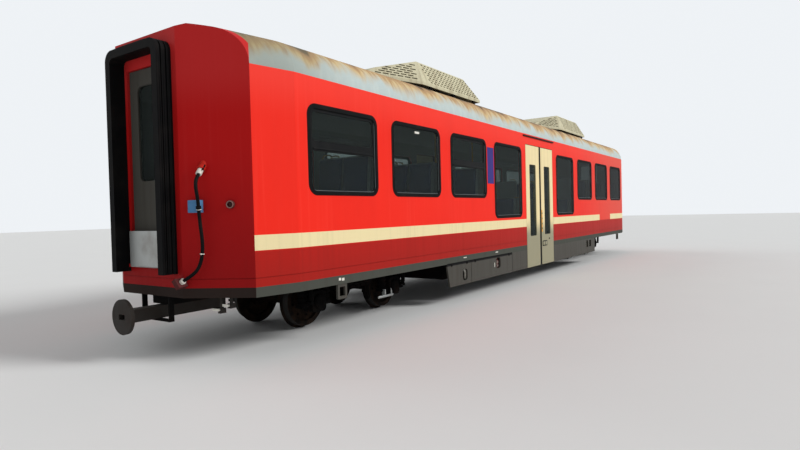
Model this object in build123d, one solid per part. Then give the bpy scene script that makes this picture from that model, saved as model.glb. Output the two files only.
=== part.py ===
from build123d import *
import math
import os

# Low-floor centre coach of a narrow-gauge regional train, in millimetres.
# +X runs along the coach, +Z up, and z = 0 is the level of the wheel flange tips.
# End a is at -X and end b at +X. The right side is at -Y and the left side at +Y.

# Track and levels
GAUGE = 760
FLANGE_DEPTH = 27
RAIL = FLANGE_DEPTH
SKIRT_BOTTOM = RAIL + 222
SILL_BOTTOM = RAIL + 550
SILL_TOP = RAIL + 642
CREASE_LEVEL = RAIL + 725
FLOOR_LOW = RAIL + 380
FLOOR_HIGH = RAIL + 850
ROOF_EDGE = RAIL + 2665

# Body shell: plan, cross-section and roof ends
HALF_WIDTH = 1200
CORNER_X = 6988
TAPER_LENGTH = 470
TAPER_INSET = 90
END_OUT = 330
END_HALF = 500
WALL = 60
CANTRAIL_RADIUS = 360
CANTRAIL_ANGLE = 75
NOSE_LENGTH = 580
NOSE_DROP = 95
CREASE_WIDTH = 7
CREASE_DEPTH = 3

# Gap between separate pieces that rest on each other or fill a hole
REST_GAP = 0.3

# Underframe and floor
SILL_DEPTH = 100
BEARER_WIDTH = 80
BEARER_HEIGHT = 48
BOLSTER_LENGTH = 420
BOLSTER_HEIGHT = 100
FLOOR_THICK = 60
FLOOR_GAP = 2
TROUGH_START = -2275
TROUGH_END = 2275
TROUGH_PLATE = 30
STEP_COUNT = 3
STEP_TREAD = 280
AISLE_HALF = 250

# Bogies
PIVOT_X = 4930
WHEELBASE = 1500
WHEEL_RADIUS = 300
RIM_WIDTH = 103
RIM_THICK = 60
WEB_THICK = 24
HUB_RADIUS = 110
AXLE_RADIUS = 65
JOURNAL_Y = 580
JOURNAL_LENGTH = 130
AXLE_BOX_LENGTH = 230
AXLE_BOX_HEIGHT = 240
SIDE_BEAM_WIDTH = 110
SIDE_BEAM_DEPTH = 110
SIDE_BEAM_TOP = 650
SIDE_BEAM_DROP = 140
SIDE_BEAM_OVERHANG = 300
TRANSOM_LENGTH = 380
TRANSOM_HEIGHT = 150
PIVOT_PIN_RADIUS = 60
PRIMARY_SPRING_RADIUS = 62
PRIMARY_SPRING_OFFSET = 180
PRIMARY_LAYERS = 4
SPRING_SEAT_LEVEL = 300
SPRING_SEAT_THICK = 30
AIR_SPRING_RADIUS = 170
SLIDING_GAP = 6
RUNNING_GAP = 0.4
SHOE_GAP = 7
SHOE_THICK = 45
SHOE_ANGLE = 26
BRAKE_BEAM_RADIUS = 24

# Windows: outer size of the rubber frames
WINDOW_WIDTH = 1150
WINDOW_TOP = RAIL + 2401
WINDOW_BOTTOM = RAIL + 1483
TALL_WINDOW_BOTTOM = RAIL + 1155
WINDOW_RADIUS = 120
WINDOW_PITCH = 1435
WINDOW_A_START = -6360
WINDOW_B_START = 930
RUBBER_WIDTH = 45
RUBBER_PROUD = 4
RUBBER_DEPTH = 34
GLASS_THICK = 8
GLASS_RECESS = 10
VENT_BAR_BOTTOM = RAIL + 1930
VENT_BAR_TOP = RAIL + 2030
VENT_FRAME = 34
VENT_DEPTH = 20

# Plug doors, one double door a side
DOOR_START = -705
DOOR_END = 705
DOOR_BOTTOM = RAIL + 222
DOOR_TOP = RAIL + 2470
DOOR_EDGE_RUBBER = 10
DOOR_MIDDLE_RUBBER = 90
DOOR_THICK = 42
DOOR_RUBBER_RECESS = 5
DOOR_GLASS_WIDTH = 315
DOOR_GLASS_BOTTOM = RAIL + 795
DOOR_GLASS_TOP = RAIL + 2120
DOOR_GLASS_RADIUS = 30
GUTTER_START = -815
GUTTER_END = 750
GUTTER_LEVEL = RAIL + 2617
GUTTER_SIZE = 22

# Skirts and their flaps
SKIRT_THICK = 24
SKIRT_START_TOP = -3660
SKIRT_START_BOTTOM = -3579
FLAP_SPLIT = -2935
FLAP_END = -1406
SKIRT_END = 3680
FLAP_GAP = 12
HINGE_PIN_RADIUS = 5
HINGE_LUG = 30
HINGE_NOTCH_GAP = 8
HINGE_INSET = 130
FLAP_1_HOLE = (-3130, 143, RAIL + 275, RAIL + 443)
FLAP_2_HOLE = (-1970, 167, RAIL + 343, RAIL + 516)
FLAP_HOLE_RADIUS = 50
SKIRT_SLOTS = (2972, 3219)
SKIRT_SLOT_WIDTH = 150
SKIRT_SLOT_BOTTOM = RAIL + 360
SKIRT_SLOT_TOP = RAIL + 520
LOOP_X = (-5885, 6026)
LOOP_WIDTH = 150
LOOP_HEIGHT = 160
LOOP_BAR = 30

# Ends: gangway, door, bridge plate and coupling
END_DOOR_HALF = 310
END_DOOR_HEIGHT = 1900
END_DOOR_THICK = 40
END_DOOR_GAP = 8
END_DOOR_PIVOT_INSET = 22
END_DOOR_PIVOT_RADIUS = 8
END_DOOR_PIVOT_LENGTH = 24
END_DOOR_SIDE_GAP = 16
GANGWAY_HALF = 430
GANGWAY_BULGE = 80
GANGWAY_DEPTH = 150
GANGWAY_BOTTOM = 800
GANGWAY_TOP = 2960
GANGWAY_RADIUS = 110
BRIDGE_HALF = 280
BRIDGE_LENGTH = 340
BRIDGE_THICK = 12
BRIDGE_KNUCKLE = 16
BRIDGE_PIN_RADIUS = 8
BRIDGE_OUT = 30
BRIDGE_EAR = 20
COUPLER_LEVEL = 412
COUPLER_PIVOT_X = 6560
COUPLER_HEAD_X = 7628
COUPLER_SHANK = 120
COUPLER_PIN_RADIUS = 30
COUPLER_SWING = 10
BUFFER_RADIUS = 165
BUFFER_THICK = 34
DRAFT_HALF = 150
DRAFT_INNER_X = 6360
STIRRUP_THICK = 20
HOOK_BORE_RADIUS = 22
HOOK_SLOT = 50
HOOK_LENGTH = 150

# Roof units: each from the front edge of its flat top, with a nose that slopes and narrows towards end a
ROOF_UNIT_START = (-3485, 2655)
ROOF_UNIT_LENGTH = 1890
ROOF_UNIT_TOP_LENGTH = 1450
ROOF_UNIT_HALF = 745
ROOF_UNIT_TOP_HALF = 657
ROOF_UNIT_GAP = 12
ROOF_UNIT_RIM = 40
ROOF_UNIT_HEIGHT = 336
ROOF_UNIT_NOSE = 950
ROOF_UNIT_NOSE_TOP = 750
ROOF_UNIT_NOSE_HALF = 440
ROOF_UNIT_NOSE_HEIGHT = 135
ROOF_UNIT_SHOULDER = 50
ROOF_UNIT_SHEET = 25
FOOT_SIZE = 70

# Equipment cases under the floor
CASE_GAP = 10
CASE_END = 3400
CASE_HALF = 980
CASE_BOTTOM = 330

# Saloon fittings
BENCH_GAP = 15
BENCH_DEPTH = 430
BENCH_OFFSET = 55
LAST_BENCH_X = 6440
DOOR_BENCH_X = 840
SEAT_HEIGHT = 430
SEAT_BACK_HEIGHT = 1130
SEAT_SHELL = 30
SEAT_PAD = 60
SEAT_RECLINE = 60
SEAT_PLINTH = 120
POLE_RADIUS = 17
POLE_Y = 640
POLE_X = (-800, 800)

# End equipment on the right corner panel of end a: distance from the side corner, level
SOCKET_RING = (211, RAIL + 1401)
SOCKET_RING_RADIUS = 37
JUMPER_SOCKET_RADIUS = 34
SOCKET_REACH = 145
PLUG_RADIUS = 25
PLUG_LENGTH = 60
HOLDER_AT = (534, RAIL + 1391)
HOLDER_SIZE = (120, 115, 60)
CLIP_RADIUS = 22
CLIP_WALL = 6
CLIP_HEIGHT = 20
PARK_BOX = (40, 90, 130)
CABLE_RADIUS = 16
# Jumper cable from its plug to the parking box: (distance, stand-off from the panel, level)
CABLE_ROUTE = [(472, 81, RAIL + 1677), (476, 128, RAIL + 1628), (490, 148, RAIL + 1550),
               (510, 136, RAIL + 1465), (526, 106, RAIL + 1370), (527, 92, RAIL + 1265),
               (512, 90, RAIL + 1150), (499, 90, RAIL + 1030), (503, 92, RAIL + 915),
               (534, 96, RAIL + 820), (587, 92, RAIL + 755), (640, 84, RAIL + 722)]
PARK_PLUG_LENGTH = 30
BRAKE_COCKS = ((7090, 752, 151), (7046, 835, 105))
COCK_RADIUS = 17

# Derived places
BEND_X = CORNER_X - TAPER_LENGTH
END_X = CORNER_X + END_OUT
TAPER_SLOPE = TAPER_INSET / TAPER_LENGTH
CORNER_Y = HALF_WIDTH - TAPER_INSET
CROWN_HALF = HALF_WIDTH - CANTRAIL_RADIUS + CANTRAIL_RADIUS * math.cos(math.radians(CANTRAIL_ANGLE))
CROWN_RADIUS = CROWN_HALF / math.cos(math.radians(CANTRAIL_ANGLE))
CROWN_START = ROOF_EDGE + CANTRAIL_RADIUS * math.sin(math.radians(CANTRAIL_ANGLE))
CROWN_CENTRE = CROWN_START - CROWN_RADIUS * math.sin(math.radians(CANTRAIL_ANGLE))
ROOF_TOP = CROWN_CENTRE + CROWN_RADIUS
NOSE_RADIUS = (NOSE_LENGTH ** 2 + NOSE_DROP ** 2) / (2 * NOSE_DROP)
FLOOR_UNDER = FLOOR_HIGH - FLOOR_THICK
AXLE_LEVEL = FLANGE_DEPTH + WHEEL_RADIUS
BEARER_BOTTOM = FLOOR_UNDER - BEARER_HEIGHT
BOLSTER_BOTTOM = FLOOR_UNDER - BOLSTER_HEIGHT
DOOR_OPEN_START = DOOR_START - DOOR_EDGE_RUBBER
DOOR_OPEN_END = DOOR_END + DOOR_EDGE_RUBBER
DOOR_OPEN_TOP = DOOR_TOP + DOOR_EDGE_RUBBER
WINDOW_STARTS = [WINDOW_A_START + WINDOW_PITCH * k for k in range(4)]
WINDOW_STARTS += [WINDOW_B_START + WINDOW_PITCH * k for k in range(4)]
TALL_WINDOWS = (3, 4)
VENT_WINDOWS = (0, 2)
HINGE_LEVEL = SILL_BOTTOM - FLAP_GAP / 2 - SKIRT_THICK / 2
HINGE_Y = HALF_WIDTH - SKIRT_THICK / 2
TOP = ROOF_TOP + 1000
ROOF_UNIT_BASE = ROOF_TOP + ROOF_UNIT_GAP
DOOR_PIVOT_X = END_X - WALL + END_DOOR_THICK / 2
DOOR_LEAF_EDGE = END_DOOR_HALF - END_DOOR_SIDE_GAP
DOOR_PIVOT_Y = DOOR_LEAF_EDGE - END_DOOR_PIVOT_INSET
BRIDGE_X = END_X + BRIDGE_OUT
BRIDGE_LEVEL = FLOOR_HIGH - BRIDGE_KNUCKLE
TRANSOM_TOP = SIDE_BEAM_TOP - SIDE_BEAM_DROP
TRANSOM_BOTTOM = TRANSOM_TOP - TRANSOM_HEIGHT
PANEL_LENGTH = math.hypot(END_OUT, CORNER_Y - END_HALF)
PANEL_ALONG = (END_OUT / PANEL_LENGTH, -(CORNER_Y - END_HALF) / PANEL_LENGTH)
PANEL_OUT = (-PANEL_ALONG[1], PANEL_ALONG[0])


def block(x0, x1, y0, y1, z0, z1):
    """Box between two corners."""
    size = Box(x1 - x0, y1 - y0, z1 - z0)
    return Pos((x0 + x1) / 2, (y0 + y1) / 2, (z0 + z1) / 2) * size


def flat(points, z0, z1):
    """Upright prism over an outline of (x, y) points."""
    face = make_face(Polyline(*points, close=True))
    return extrude(Plane.XY.offset(z0) * face, z1 - z0)


def across(face, y0, y1):
    """Prism along Y from y0 to y1 over a face drawn in (x, z)."""
    return extrude(Plane.XZ.offset(-y1) * face, y1 - y0)


def along(face, x0, x1):
    """Prism along X from x0 to x1 over a face drawn in (y, z)."""
    return extrude(Plane.YZ.offset(x0) * face, x1 - x0)


def outline(points):
    """Closed face through straight corners."""
    return make_face(Polyline(*points, close=True))


def rounded(x0, x1, z0, z1, radius):
    """Rounded rectangle between two corners."""
    return Pos((x0 + x1) / 2, (z0 + z1) / 2) * RectangleRounded(x1 - x0, z1 - z0, radius)


def rod(start, end, radius):
    """Round bar between two points."""
    start, end = Vector(*start), Vector(*end)
    return extrude(Plane(origin=start, z_dir=end - start) * Circle(radius), (end - start).length)


def pair(shape):
    """A right-side shape and its mirror on the left side."""
    return [shape, mirror(shape, about=Plane.XZ)]


def both_ends(shape):
    """A shape at end b and its mirror at end a."""
    return [shape, mirror(shape, about=Plane.YZ)]


def save(name, shapes):
    """Write one node, of one or more separate solids."""
    shapes = shapes if isinstance(shapes, list) else [shapes]
    solids = [solid for shape in shapes for solid in shape.solids()]
    export_step(Compound(children=solids) if len(solids) > 1 else solids[0], f"parts/{name}.step")


def meet(p, d, q, e):
    """Crossing of the line through p along d with the line through q along e."""
    cross = d[0] * e[1] - d[1] * e[0]
    t = ((q[0] - p[0]) * e[1] - (q[1] - p[1]) * e[0]) / cross
    return (p[0] + t * d[0], p[1] + t * d[1])


def corners(inset):
    """Plan corners of the quarter at +X and +Y, moved in by inset: bend, side corner, flat corner."""
    on_panel = (CORNER_X - inset * PANEL_OUT[0], CORNER_Y - inset * PANEL_OUT[1])
    bend = (BEND_X, HALF_WIDTH - inset)
    side = meet(bend, (1, -TAPER_SLOPE), on_panel, PANEL_ALONG)
    flat_corner = meet((END_X - inset, 0), (0, 1), on_panel, PANEL_ALONG)
    return bend, side, flat_corner


def plan(inset):
    """Whole plan outline, moved in by inset."""
    quarter = list(corners(inset))
    half = quarter + [(x, -y) for x, y in reversed(quarter)]
    return half + [(-x, y) for x, y in reversed(half)]


def cross_section(half, inset, base):
    """Body section in (y, z): upright sides, cantrail arcs and a flat crown arc."""
    side = half - inset
    centre = half - CANTRAIL_RADIUS
    radius = CANTRAIL_RADIUS - inset
    mid, end = math.radians(CANTRAIL_ANGLE / 2), math.radians(CANTRAIL_ANGLE)
    bend = (centre + radius * math.cos(mid), ROOF_EDGE + radius * math.sin(mid))
    crown = (centre + radius * math.cos(end), ROOF_EDGE + radius * math.sin(end))
    rise = crown[0] * math.tan((math.pi / 2 - end) / 2)
    lines = Polyline((-side, ROOF_EDGE), (-side, base), (side, base), (side, ROOF_EDGE))
    lines += ThreePointArc((side, ROOF_EDGE), bend, crown)
    lines += ThreePointArc(crown, (0, crown[1] + rise), (-crown[0], crown[1]))
    lines += ThreePointArc((-crown[0], crown[1]), (-bend[0], bend[1]), (-side, ROOF_EDGE))
    return make_face(lines)


def long_section(inset, base):
    """Body profile in (x, z) with the roof rounded down over both ends."""
    start = END_X - NOSE_LENGTH
    centre = ROOF_TOP - NOSE_RADIUS
    radius = NOSE_RADIUS - inset
    top = ROOF_TOP - inset
    mid = (start + NOSE_LENGTH / 2, centre + math.sqrt(radius ** 2 - (NOSE_LENGTH / 2) ** 2))
    end = (END_X, centre + math.sqrt(radius ** 2 - NOSE_LENGTH ** 2))
    lines = Polyline((-end[0], end[1]), (-end[0], base), (end[0], base), end)
    lines += ThreePointArc(end, mid, (start, top))
    lines += Line((start, top), (-start, top))
    lines += ThreePointArc((-start, top), (-mid[0], mid[1]), (-end[0], end[1]))
    return make_face(lines)


def envelope(inset, base):
    """Solid inside the body's outer surface, moved in by inset, above base."""
    end_half = HALF_WIDTH - TAPER_SLOPE * (END_X - BEND_X)
    wide = cross_section(HALF_WIDTH, inset, base)
    narrow = cross_section(end_half, inset, base)
    body = along(wide, -BEND_X, BEND_X)
    tip = loft([Plane.YZ.offset(BEND_X) * wide, Plane.YZ.offset(END_X) * narrow], ruled=True)
    body = body + both_ends(tip)
    bend, side, flat_corner = corners(inset)
    reach = meet(flat_corner, PANEL_ALONG, (0, HALF_WIDTH + WALL), (1, 0))
    quarter = [reach, flat_corner]
    half = quarter + [(x, -y) for x, y in reversed(quarter)]
    cut = flat(half + [(-x, y) for x, y in reversed(half)], base, TOP)
    return body & cut & across(long_section(inset, base), -HALF_WIDTH, HALF_WIDTH)


def end_region(base):
    """Upright prism that holds the end wall of end b, mitred to the side walls at the corners."""
    bend, side, flat_corner = corners(WALL)
    half = [(CORNER_X, CORNER_Y), side, flat_corner]
    lower = [(x, -y) for x, y in reversed(half)]
    out = END_X + WALL
    return flat(half + lower + [(out, -CORNER_Y), (out, CORNER_Y)], base, TOP)


def window_sizes():
    """Each side window as (x0, x1, z0, z1, has a vent)."""
    for k, start in enumerate(WINDOW_STARTS):
        bottom = TALL_WINDOW_BOTTOM if k in TALL_WINDOWS else WINDOW_BOTTOM
        yield start, start + WINDOW_WIDTH, bottom, WINDOW_TOP, k in VENT_WINDOWS


def make_shell():
    """Side walls, end walls and roof, cut from one hollow body and parted at their seams."""
    outer = envelope(0, SILL_TOP)
    inner = envelope(WALL, SILL_TOP)
    groove_level = block(-END_X, END_X, -HALF_WIDTH, HALF_WIDTH,
                         CREASE_LEVEL - CREASE_WIDTH / 2, CREASE_LEVEL + CREASE_WIDTH / 2)
    groove = groove_level - flat(plan(CREASE_DEPTH), SILL_TOP, ROOF_EDGE)
    end_b = end_region(SILL_TOP)
    ends = both_ends(end_b)
    shell = outer - inner
    for end in ends:
        shell = shell - end
    below = block(-END_X, END_X, -HALF_WIDTH, 0, SILL_TOP, ROOF_EDGE)
    wall = (shell & below) - groove
    holes = [across(rounded(x0, x1, z0, z1, WINDOW_RADIUS), -HALF_WIDTH - WALL, -HALF_WIDTH + 2 * WALL)
             for x0, x1, z0, z1, vent in window_sizes()]
    holes.append(block(DOOR_OPEN_START, DOOR_OPEN_END, -HALF_WIDTH - WALL, -HALF_WIDTH + 2 * WALL,
                       SILL_TOP, DOOR_OPEN_TOP))
    for hole in holes:
        wall = wall - hole
    roof = shell & block(-END_X, END_X, -HALF_WIDTH, HALF_WIDTH, ROOF_EDGE, TOP)
    return wall, roof, make_end_wall(outer, end_b, groove)


def make_end_wall(outer, region, groove):
    """End wall of end b with its doorway, the door's two pivots and the bridge plate's ears."""
    wall = (outer & region) - groove
    wall = wall - block(END_X - 2 * WALL, END_X + WALL, -END_DOOR_HALF, END_DOOR_HALF,
                        FLOOR_HIGH, FLOOR_HIGH + END_DOOR_HEIGHT)
    lintel = FLOOR_HIGH + END_DOOR_HEIGHT
    pivot = rod((DOOR_PIVOT_X, DOOR_PIVOT_Y, lintel),
                (DOOR_PIVOT_X, DOOR_PIVOT_Y, lintel - END_DOOR_GAP - END_DOOR_PIVOT_LENGTH),
                END_DOOR_PIVOT_RADIUS)
    foot = rod((DOOR_PIVOT_X, DOOR_PIVOT_Y, FLOOR_HIGH - 1),
               (DOOR_PIVOT_X, DOOR_PIVOT_Y, FLOOR_HIGH + END_DOOR_GAP + END_DOOR_PIVOT_LENGTH),
               END_DOOR_PIVOT_RADIUS)
    wall = wall + pivot + foot
    for side in (-1, 1):
        inner = side * (BRIDGE_HALF + 5)
        outer_face = inner + side * BRIDGE_EAR
        ear = block(END_X, BRIDGE_X + BRIDGE_KNUCKLE, min(inner, outer_face), max(inner, outer_face),
                    BRIDGE_LEVEL - BRIDGE_KNUCKLE, BRIDGE_LEVEL + BRIDGE_KNUCKLE)
        pin = rod((BRIDGE_X, outer_face, BRIDGE_LEVEL), (BRIDGE_X, side * (BRIDGE_HALF - 40), BRIDGE_LEVEL),
                  BRIDGE_PIN_RADIUS)
        wall = wall + ear + pin
    return wall


def make_end_door():
    """End door leaf of end b with its window hole and pivot bores, and its pane."""
    bottom = FLOOR_HIGH + END_DOOR_GAP
    top = FLOOR_HIGH + END_DOOR_HEIGHT - END_DOOR_GAP
    x0 = DOOR_PIVOT_X - END_DOOR_THICK / 2
    leaf = block(x0, x0 + END_DOOR_THICK, -DOOR_LEAF_EDGE, DOOR_LEAF_EDGE, bottom, top)
    pane_half = DOOR_LEAF_EDGE - 130
    pane = rounded(-pane_half, pane_half, bottom + 800, top - 160, 60)
    leaf = leaf - along(pane, x0 - 1, x0 + END_DOOR_THICK + 1)
    bore = END_DOOR_PIVOT_RADIUS + RUNNING_GAP
    depth = END_DOOR_PIVOT_LENGTH + 4
    leaf = leaf - rod((DOOR_PIVOT_X, DOOR_PIVOT_Y, bottom - 1), (DOOR_PIVOT_X, DOOR_PIVOT_Y, bottom + depth), bore)
    leaf = leaf - rod((DOOR_PIVOT_X, DOOR_PIVOT_Y, top - depth), (DOOR_PIVOT_X, DOOR_PIVOT_Y, top + 1), bore)
    glass_face = rounded(-pane_half + REST_GAP, pane_half - REST_GAP,
                         bottom + 800 + REST_GAP, top - 160 - REST_GAP, 60 - REST_GAP)
    middle = x0 + END_DOOR_THICK / 2
    glass = along(glass_face, middle - GLASS_THICK / 2, middle + GLASS_THICK / 2)
    return leaf, glass


def make_bridge_plate():
    """Bridge plate of end b, folded up in front of the doorway, with its bored knuckle."""
    knuckle = rod((BRIDGE_X, -BRIDGE_HALF, BRIDGE_LEVEL), (BRIDGE_X, BRIDGE_HALF, BRIDGE_LEVEL), BRIDGE_KNUCKLE)
    plate = block(BRIDGE_X + BRIDGE_KNUCKLE - BRIDGE_THICK, BRIDGE_X + BRIDGE_KNUCKLE,
                  -BRIDGE_HALF, BRIDGE_HALF, BRIDGE_LEVEL, BRIDGE_LEVEL + BRIDGE_LENGTH)
    plate = plate + knuckle
    for side in (-1, 1):
        plate = plate - rod((BRIDGE_X, side * (BRIDGE_HALF + 1), BRIDGE_LEVEL),
                            (BRIDGE_X, side * (BRIDGE_HALF - 44), BRIDGE_LEVEL),
                            BRIDGE_PIN_RADIUS + RUNNING_GAP)
    return plate


def make_gangway():
    """Rubber gangway frame of end b: an upturned U with bellows grooves round the doorway."""
    outer = rounded(-GANGWAY_HALF, GANGWAY_HALF, GANGWAY_BOTTOM - 400, GANGWAY_TOP, GANGWAY_RADIUS)
    inner_half = GANGWAY_HALF - GANGWAY_BULGE
    inner = rounded(-inner_half, inner_half, GANGWAY_BOTTOM - 500, GANGWAY_TOP - GANGWAY_BULGE, 50)
    frame = along(outer - inner, END_X, END_X + GANGWAY_DEPTH)
    groove_depth = 14
    thin = rounded(-GANGWAY_HALF + groove_depth, GANGWAY_HALF - groove_depth,
                   GANGWAY_BOTTOM - 400, GANGWAY_TOP - groove_depth, GANGWAY_RADIUS - groove_depth)
    for fraction in (0.3, 0.65):
        start = END_X + GANGWAY_DEPTH * fraction
        frame = frame - along(outer - thin, start, start + 16)
    below = block(END_X - 1, END_X + GANGWAY_DEPTH + 1, -GANGWAY_HALF - 1, GANGWAY_HALF + 1, 0, GANGWAY_BOTTOM)
    return frame - below


def make_underframe():
    """Sill ring, webs, cross bearers, bolsters with pivot pins, draft boxes and flap hinge lugs."""
    frame = flat(plan(0), SILL_BOTTOM, SILL_TOP) - flat(plan(SILL_DEPTH), SILL_BOTTOM, SILL_TOP)
    web = flat(plan(WALL), SILL_TOP, FLOOR_UNDER) - flat(plan(SILL_DEPTH), SILL_TOP, FLOOR_UNDER)
    frame = frame + web
    half = HALF_WIDTH - SILL_DEPTH
    inner = TROUGH_START - BEARER_WIDTH
    positions = [inner - BEARER_WIDTH / 2, -PIVOT_X + WHEELBASE, -PIVOT_X - WHEELBASE]
    positions += [TROUGH_END + BEARER_WIDTH * 1.5, PIVOT_X - WHEELBASE, PIVOT_X + WHEELBASE]
    for x in positions:
        frame = frame + block(x - BEARER_WIDTH / 2, x + BEARER_WIDTH / 2, -half, half, BEARER_BOTTOM, FLOOR_UNDER)
    for side in (-1, 1):
        pivot = side * PIVOT_X
        frame = frame + block(pivot - BOLSTER_LENGTH / 2, pivot + BOLSTER_LENGTH / 2, -half, half,
                              BOLSTER_BOTTOM, FLOOR_UNDER)
        frame = frame + rod((pivot, 0, BOLSTER_BOTTOM), (pivot, 0, TRANSOM_BOTTOM + 20), PIVOT_PIN_RADIUS)
    frame = frame + both_ends(make_draft_box())
    doorway = block(DOOR_OPEN_START, DOOR_OPEN_END, -HALF_WIDTH - 1, HALF_WIDTH + 1, SILL_BOTTOM - 1, FLOOR_UNDER + 1)
    frame = frame - doorway
    for lug in flap_lugs():
        frame = frame + pair(lug)
    return frame


def make_draft_box():
    """Draft box of end b with the coupler's pivot pin and the stirrup under the coupler."""
    bottom = COUPLER_LEVEL + COUPLER_SHANK / 2 + SLIDING_GAP
    box = block(DRAFT_INNER_X, END_X - SILL_DEPTH, -DRAFT_HALF, DRAFT_HALF, bottom, FLOOR_UNDER)
    pin_end = COUPLER_LEVEL - COUPLER_SHANK / 2 - SLIDING_GAP
    box = box + rod((COUPLER_PIVOT_X, 0, bottom + 1), (COUPLER_PIVOT_X, 0, pin_end), COUPLER_PIN_RADIUS)
    box = box + rod((COUPLER_PIVOT_X, 0, pin_end), (COUPLER_PIVOT_X, 0, pin_end - 20), COUPLER_PIN_RADIUS + 18)
    x0 = END_X - SILL_DEPTH + 20
    x1 = x0 + 50
    reach = (x1 - COUPLER_PIVOT_X) * math.sin(math.radians(COUPLER_SWING)) + COUPLER_SHANK / 2
    inner = reach + 4 * SLIDING_GAP
    stirrup = block(x0, x1, -inner - STIRRUP_THICK, inner + STIRRUP_THICK, pin_end - STIRRUP_THICK, SILL_BOTTOM)
    stirrup = stirrup - block(x0, x1, -inner, inner, pin_end, SILL_BOTTOM)
    return box + stirrup


def flap_lugs():
    """Hinge lugs with their pins along the top edges of the two right-side flaps."""
    for x0, x1 in flap_spans():
        for x in (x0 + HINGE_INSET, x1 - HINGE_INSET):
            lug = block(x - HINGE_LUG / 2, x + HINGE_LUG / 2, -HALF_WIDTH, -HALF_WIDTH + SKIRT_THICK,
                        HINGE_LEVEL, SILL_BOTTOM)
            lug = lug + rod((x - HINGE_LUG / 2, -HINGE_Y, HINGE_LEVEL), (x + HINGE_LUG / 2, -HINGE_Y, HINGE_LEVEL),
                            SKIRT_THICK / 2)
            reach = HINGE_LUG / 2 + HINGE_NOTCH_GAP + 25
            yield lug + rod((x - reach, -HINGE_Y, HINGE_LEVEL), (x + reach, -HINGE_Y, HINGE_LEVEL), HINGE_PIN_RADIUS)


def flap_spans():
    """Start and end of each flap's top edge."""
    half_gap = FLAP_GAP / 2
    return [(SKIRT_START_TOP, FLAP_SPLIT - half_gap), (FLAP_SPLIT + half_gap, FLAP_END - half_gap)]


def make_flap(index):
    """One right-side flap: a panel with a round hinge edge, notches for the lugs and its peep hole."""
    x0, x1 = flap_spans()[index]
    start_bottom = SKIRT_START_BOTTOM if index == 0 else x0
    face = outline([(x0, HINGE_LEVEL), (start_bottom, SKIRT_BOTTOM), (x1, SKIRT_BOTTOM), (x1, HINGE_LEVEL)])
    panel = across(face, -HALF_WIDTH, -HALF_WIDTH + SKIRT_THICK)
    panel = panel + rod((x0, -HINGE_Y, HINGE_LEVEL), (x1, -HINGE_Y, HINGE_LEVEL), SKIRT_THICK / 2)
    for x in (x0 + HINGE_INSET, x1 - HINGE_INSET):
        notch = HINGE_LUG / 2 + HINGE_NOTCH_GAP
        panel = panel - block(x - notch, x + notch, -HALF_WIDTH - 1, -HALF_WIDTH + SKIRT_THICK + 1,
                              HINGE_LEVEL - SKIRT_THICK, SILL_BOTTOM)
        panel = panel - rod((x - notch - 30, -HINGE_Y, HINGE_LEVEL), (x + notch + 30, -HINGE_Y, HINGE_LEVEL),
                            HINGE_PIN_RADIUS + RUNNING_GAP)
    centre, width, low, high = (FLAP_1_HOLE, FLAP_2_HOLE)[index]
    hole = rounded(centre - width / 2, centre + width / 2, low, high, FLAP_HOLE_RADIUS)
    return panel - across(hole, -HALF_WIDTH - 1, -HALF_WIDTH + SKIRT_THICK + 1)


def make_skirts():
    """Fixed skirts between the flaps, the doors and the skirt's end, both sides."""
    y0, y1 = -HALF_WIDTH, -HALF_WIDTH + SKIRT_THICK
    front = block(FLAP_END + FLAP_GAP / 2, DOOR_OPEN_START, y0, y1, SKIRT_BOTTOM, SILL_BOTTOM)
    rear = block(DOOR_OPEN_END, SKIRT_END, y0, y1, SKIRT_BOTTOM, SILL_BOTTOM)
    for x in SKIRT_SLOTS:
        slot = rounded(x, x + SKIRT_SLOT_WIDTH, SKIRT_SLOT_BOTTOM, SKIRT_SLOT_TOP, 20)
        rear = rear - across(slot, y0 - 1, y1 + 1)
    return pair(front) + pair(rear)


def make_floor():
    """Stepped floor: two high decks, the low trough with its side plates, and the aisle steps."""
    deck = flat(plan(WALL + FLOOR_GAP), FLOOR_UNDER, FLOOR_HIGH)
    trough = block(TROUGH_START, TROUGH_END, -HALF_WIDTH, HALF_WIDTH, FLOOR_UNDER, FLOOR_HIGH)
    deck = deck - trough
    outer = HALF_WIDTH - SILL_DEPTH
    low_under = FLOOR_LOW - FLOOR_THICK
    pan = block(TROUGH_START - FLOOR_THICK, TROUGH_END + FLOOR_THICK, -outer, outer, low_under, FLOOR_HIGH)
    room = block(TROUGH_START, TROUGH_END, -outer + TROUGH_PLATE, outer - TROUGH_PLATE, FLOOR_LOW, FLOOR_HIGH + 1)
    pan = pan - room
    entrance = block(DOOR_START, DOOR_END, -outer - 1, outer + 1, FLOOR_LOW, FLOOR_HIGH + 1)
    threshold = block(DOOR_START, DOOR_END, -HALF_WIDTH + DOOR_THICK + SLIDING_GAP,
                      HALF_WIDTH - DOOR_THICK - SLIDING_GAP, low_under, FLOOR_LOW)
    floor = deck + (pan - entrance) + threshold
    rise = (FLOOR_HIGH - FLOOR_LOW) / STEP_COUNT
    for k in range(1, STEP_COUNT):
        depth = STEP_TREAD * (STEP_COUNT - k)
        top = FLOOR_LOW + rise * k
        floor = floor + block(TROUGH_START, TROUGH_START + depth, -AISLE_HALF, AISLE_HALF, FLOOR_LOW, top)
        floor = floor + block(TROUGH_END - depth, TROUGH_END, -AISLE_HALF, AISLE_HALF, FLOOR_LOW, top)
    return floor


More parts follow.
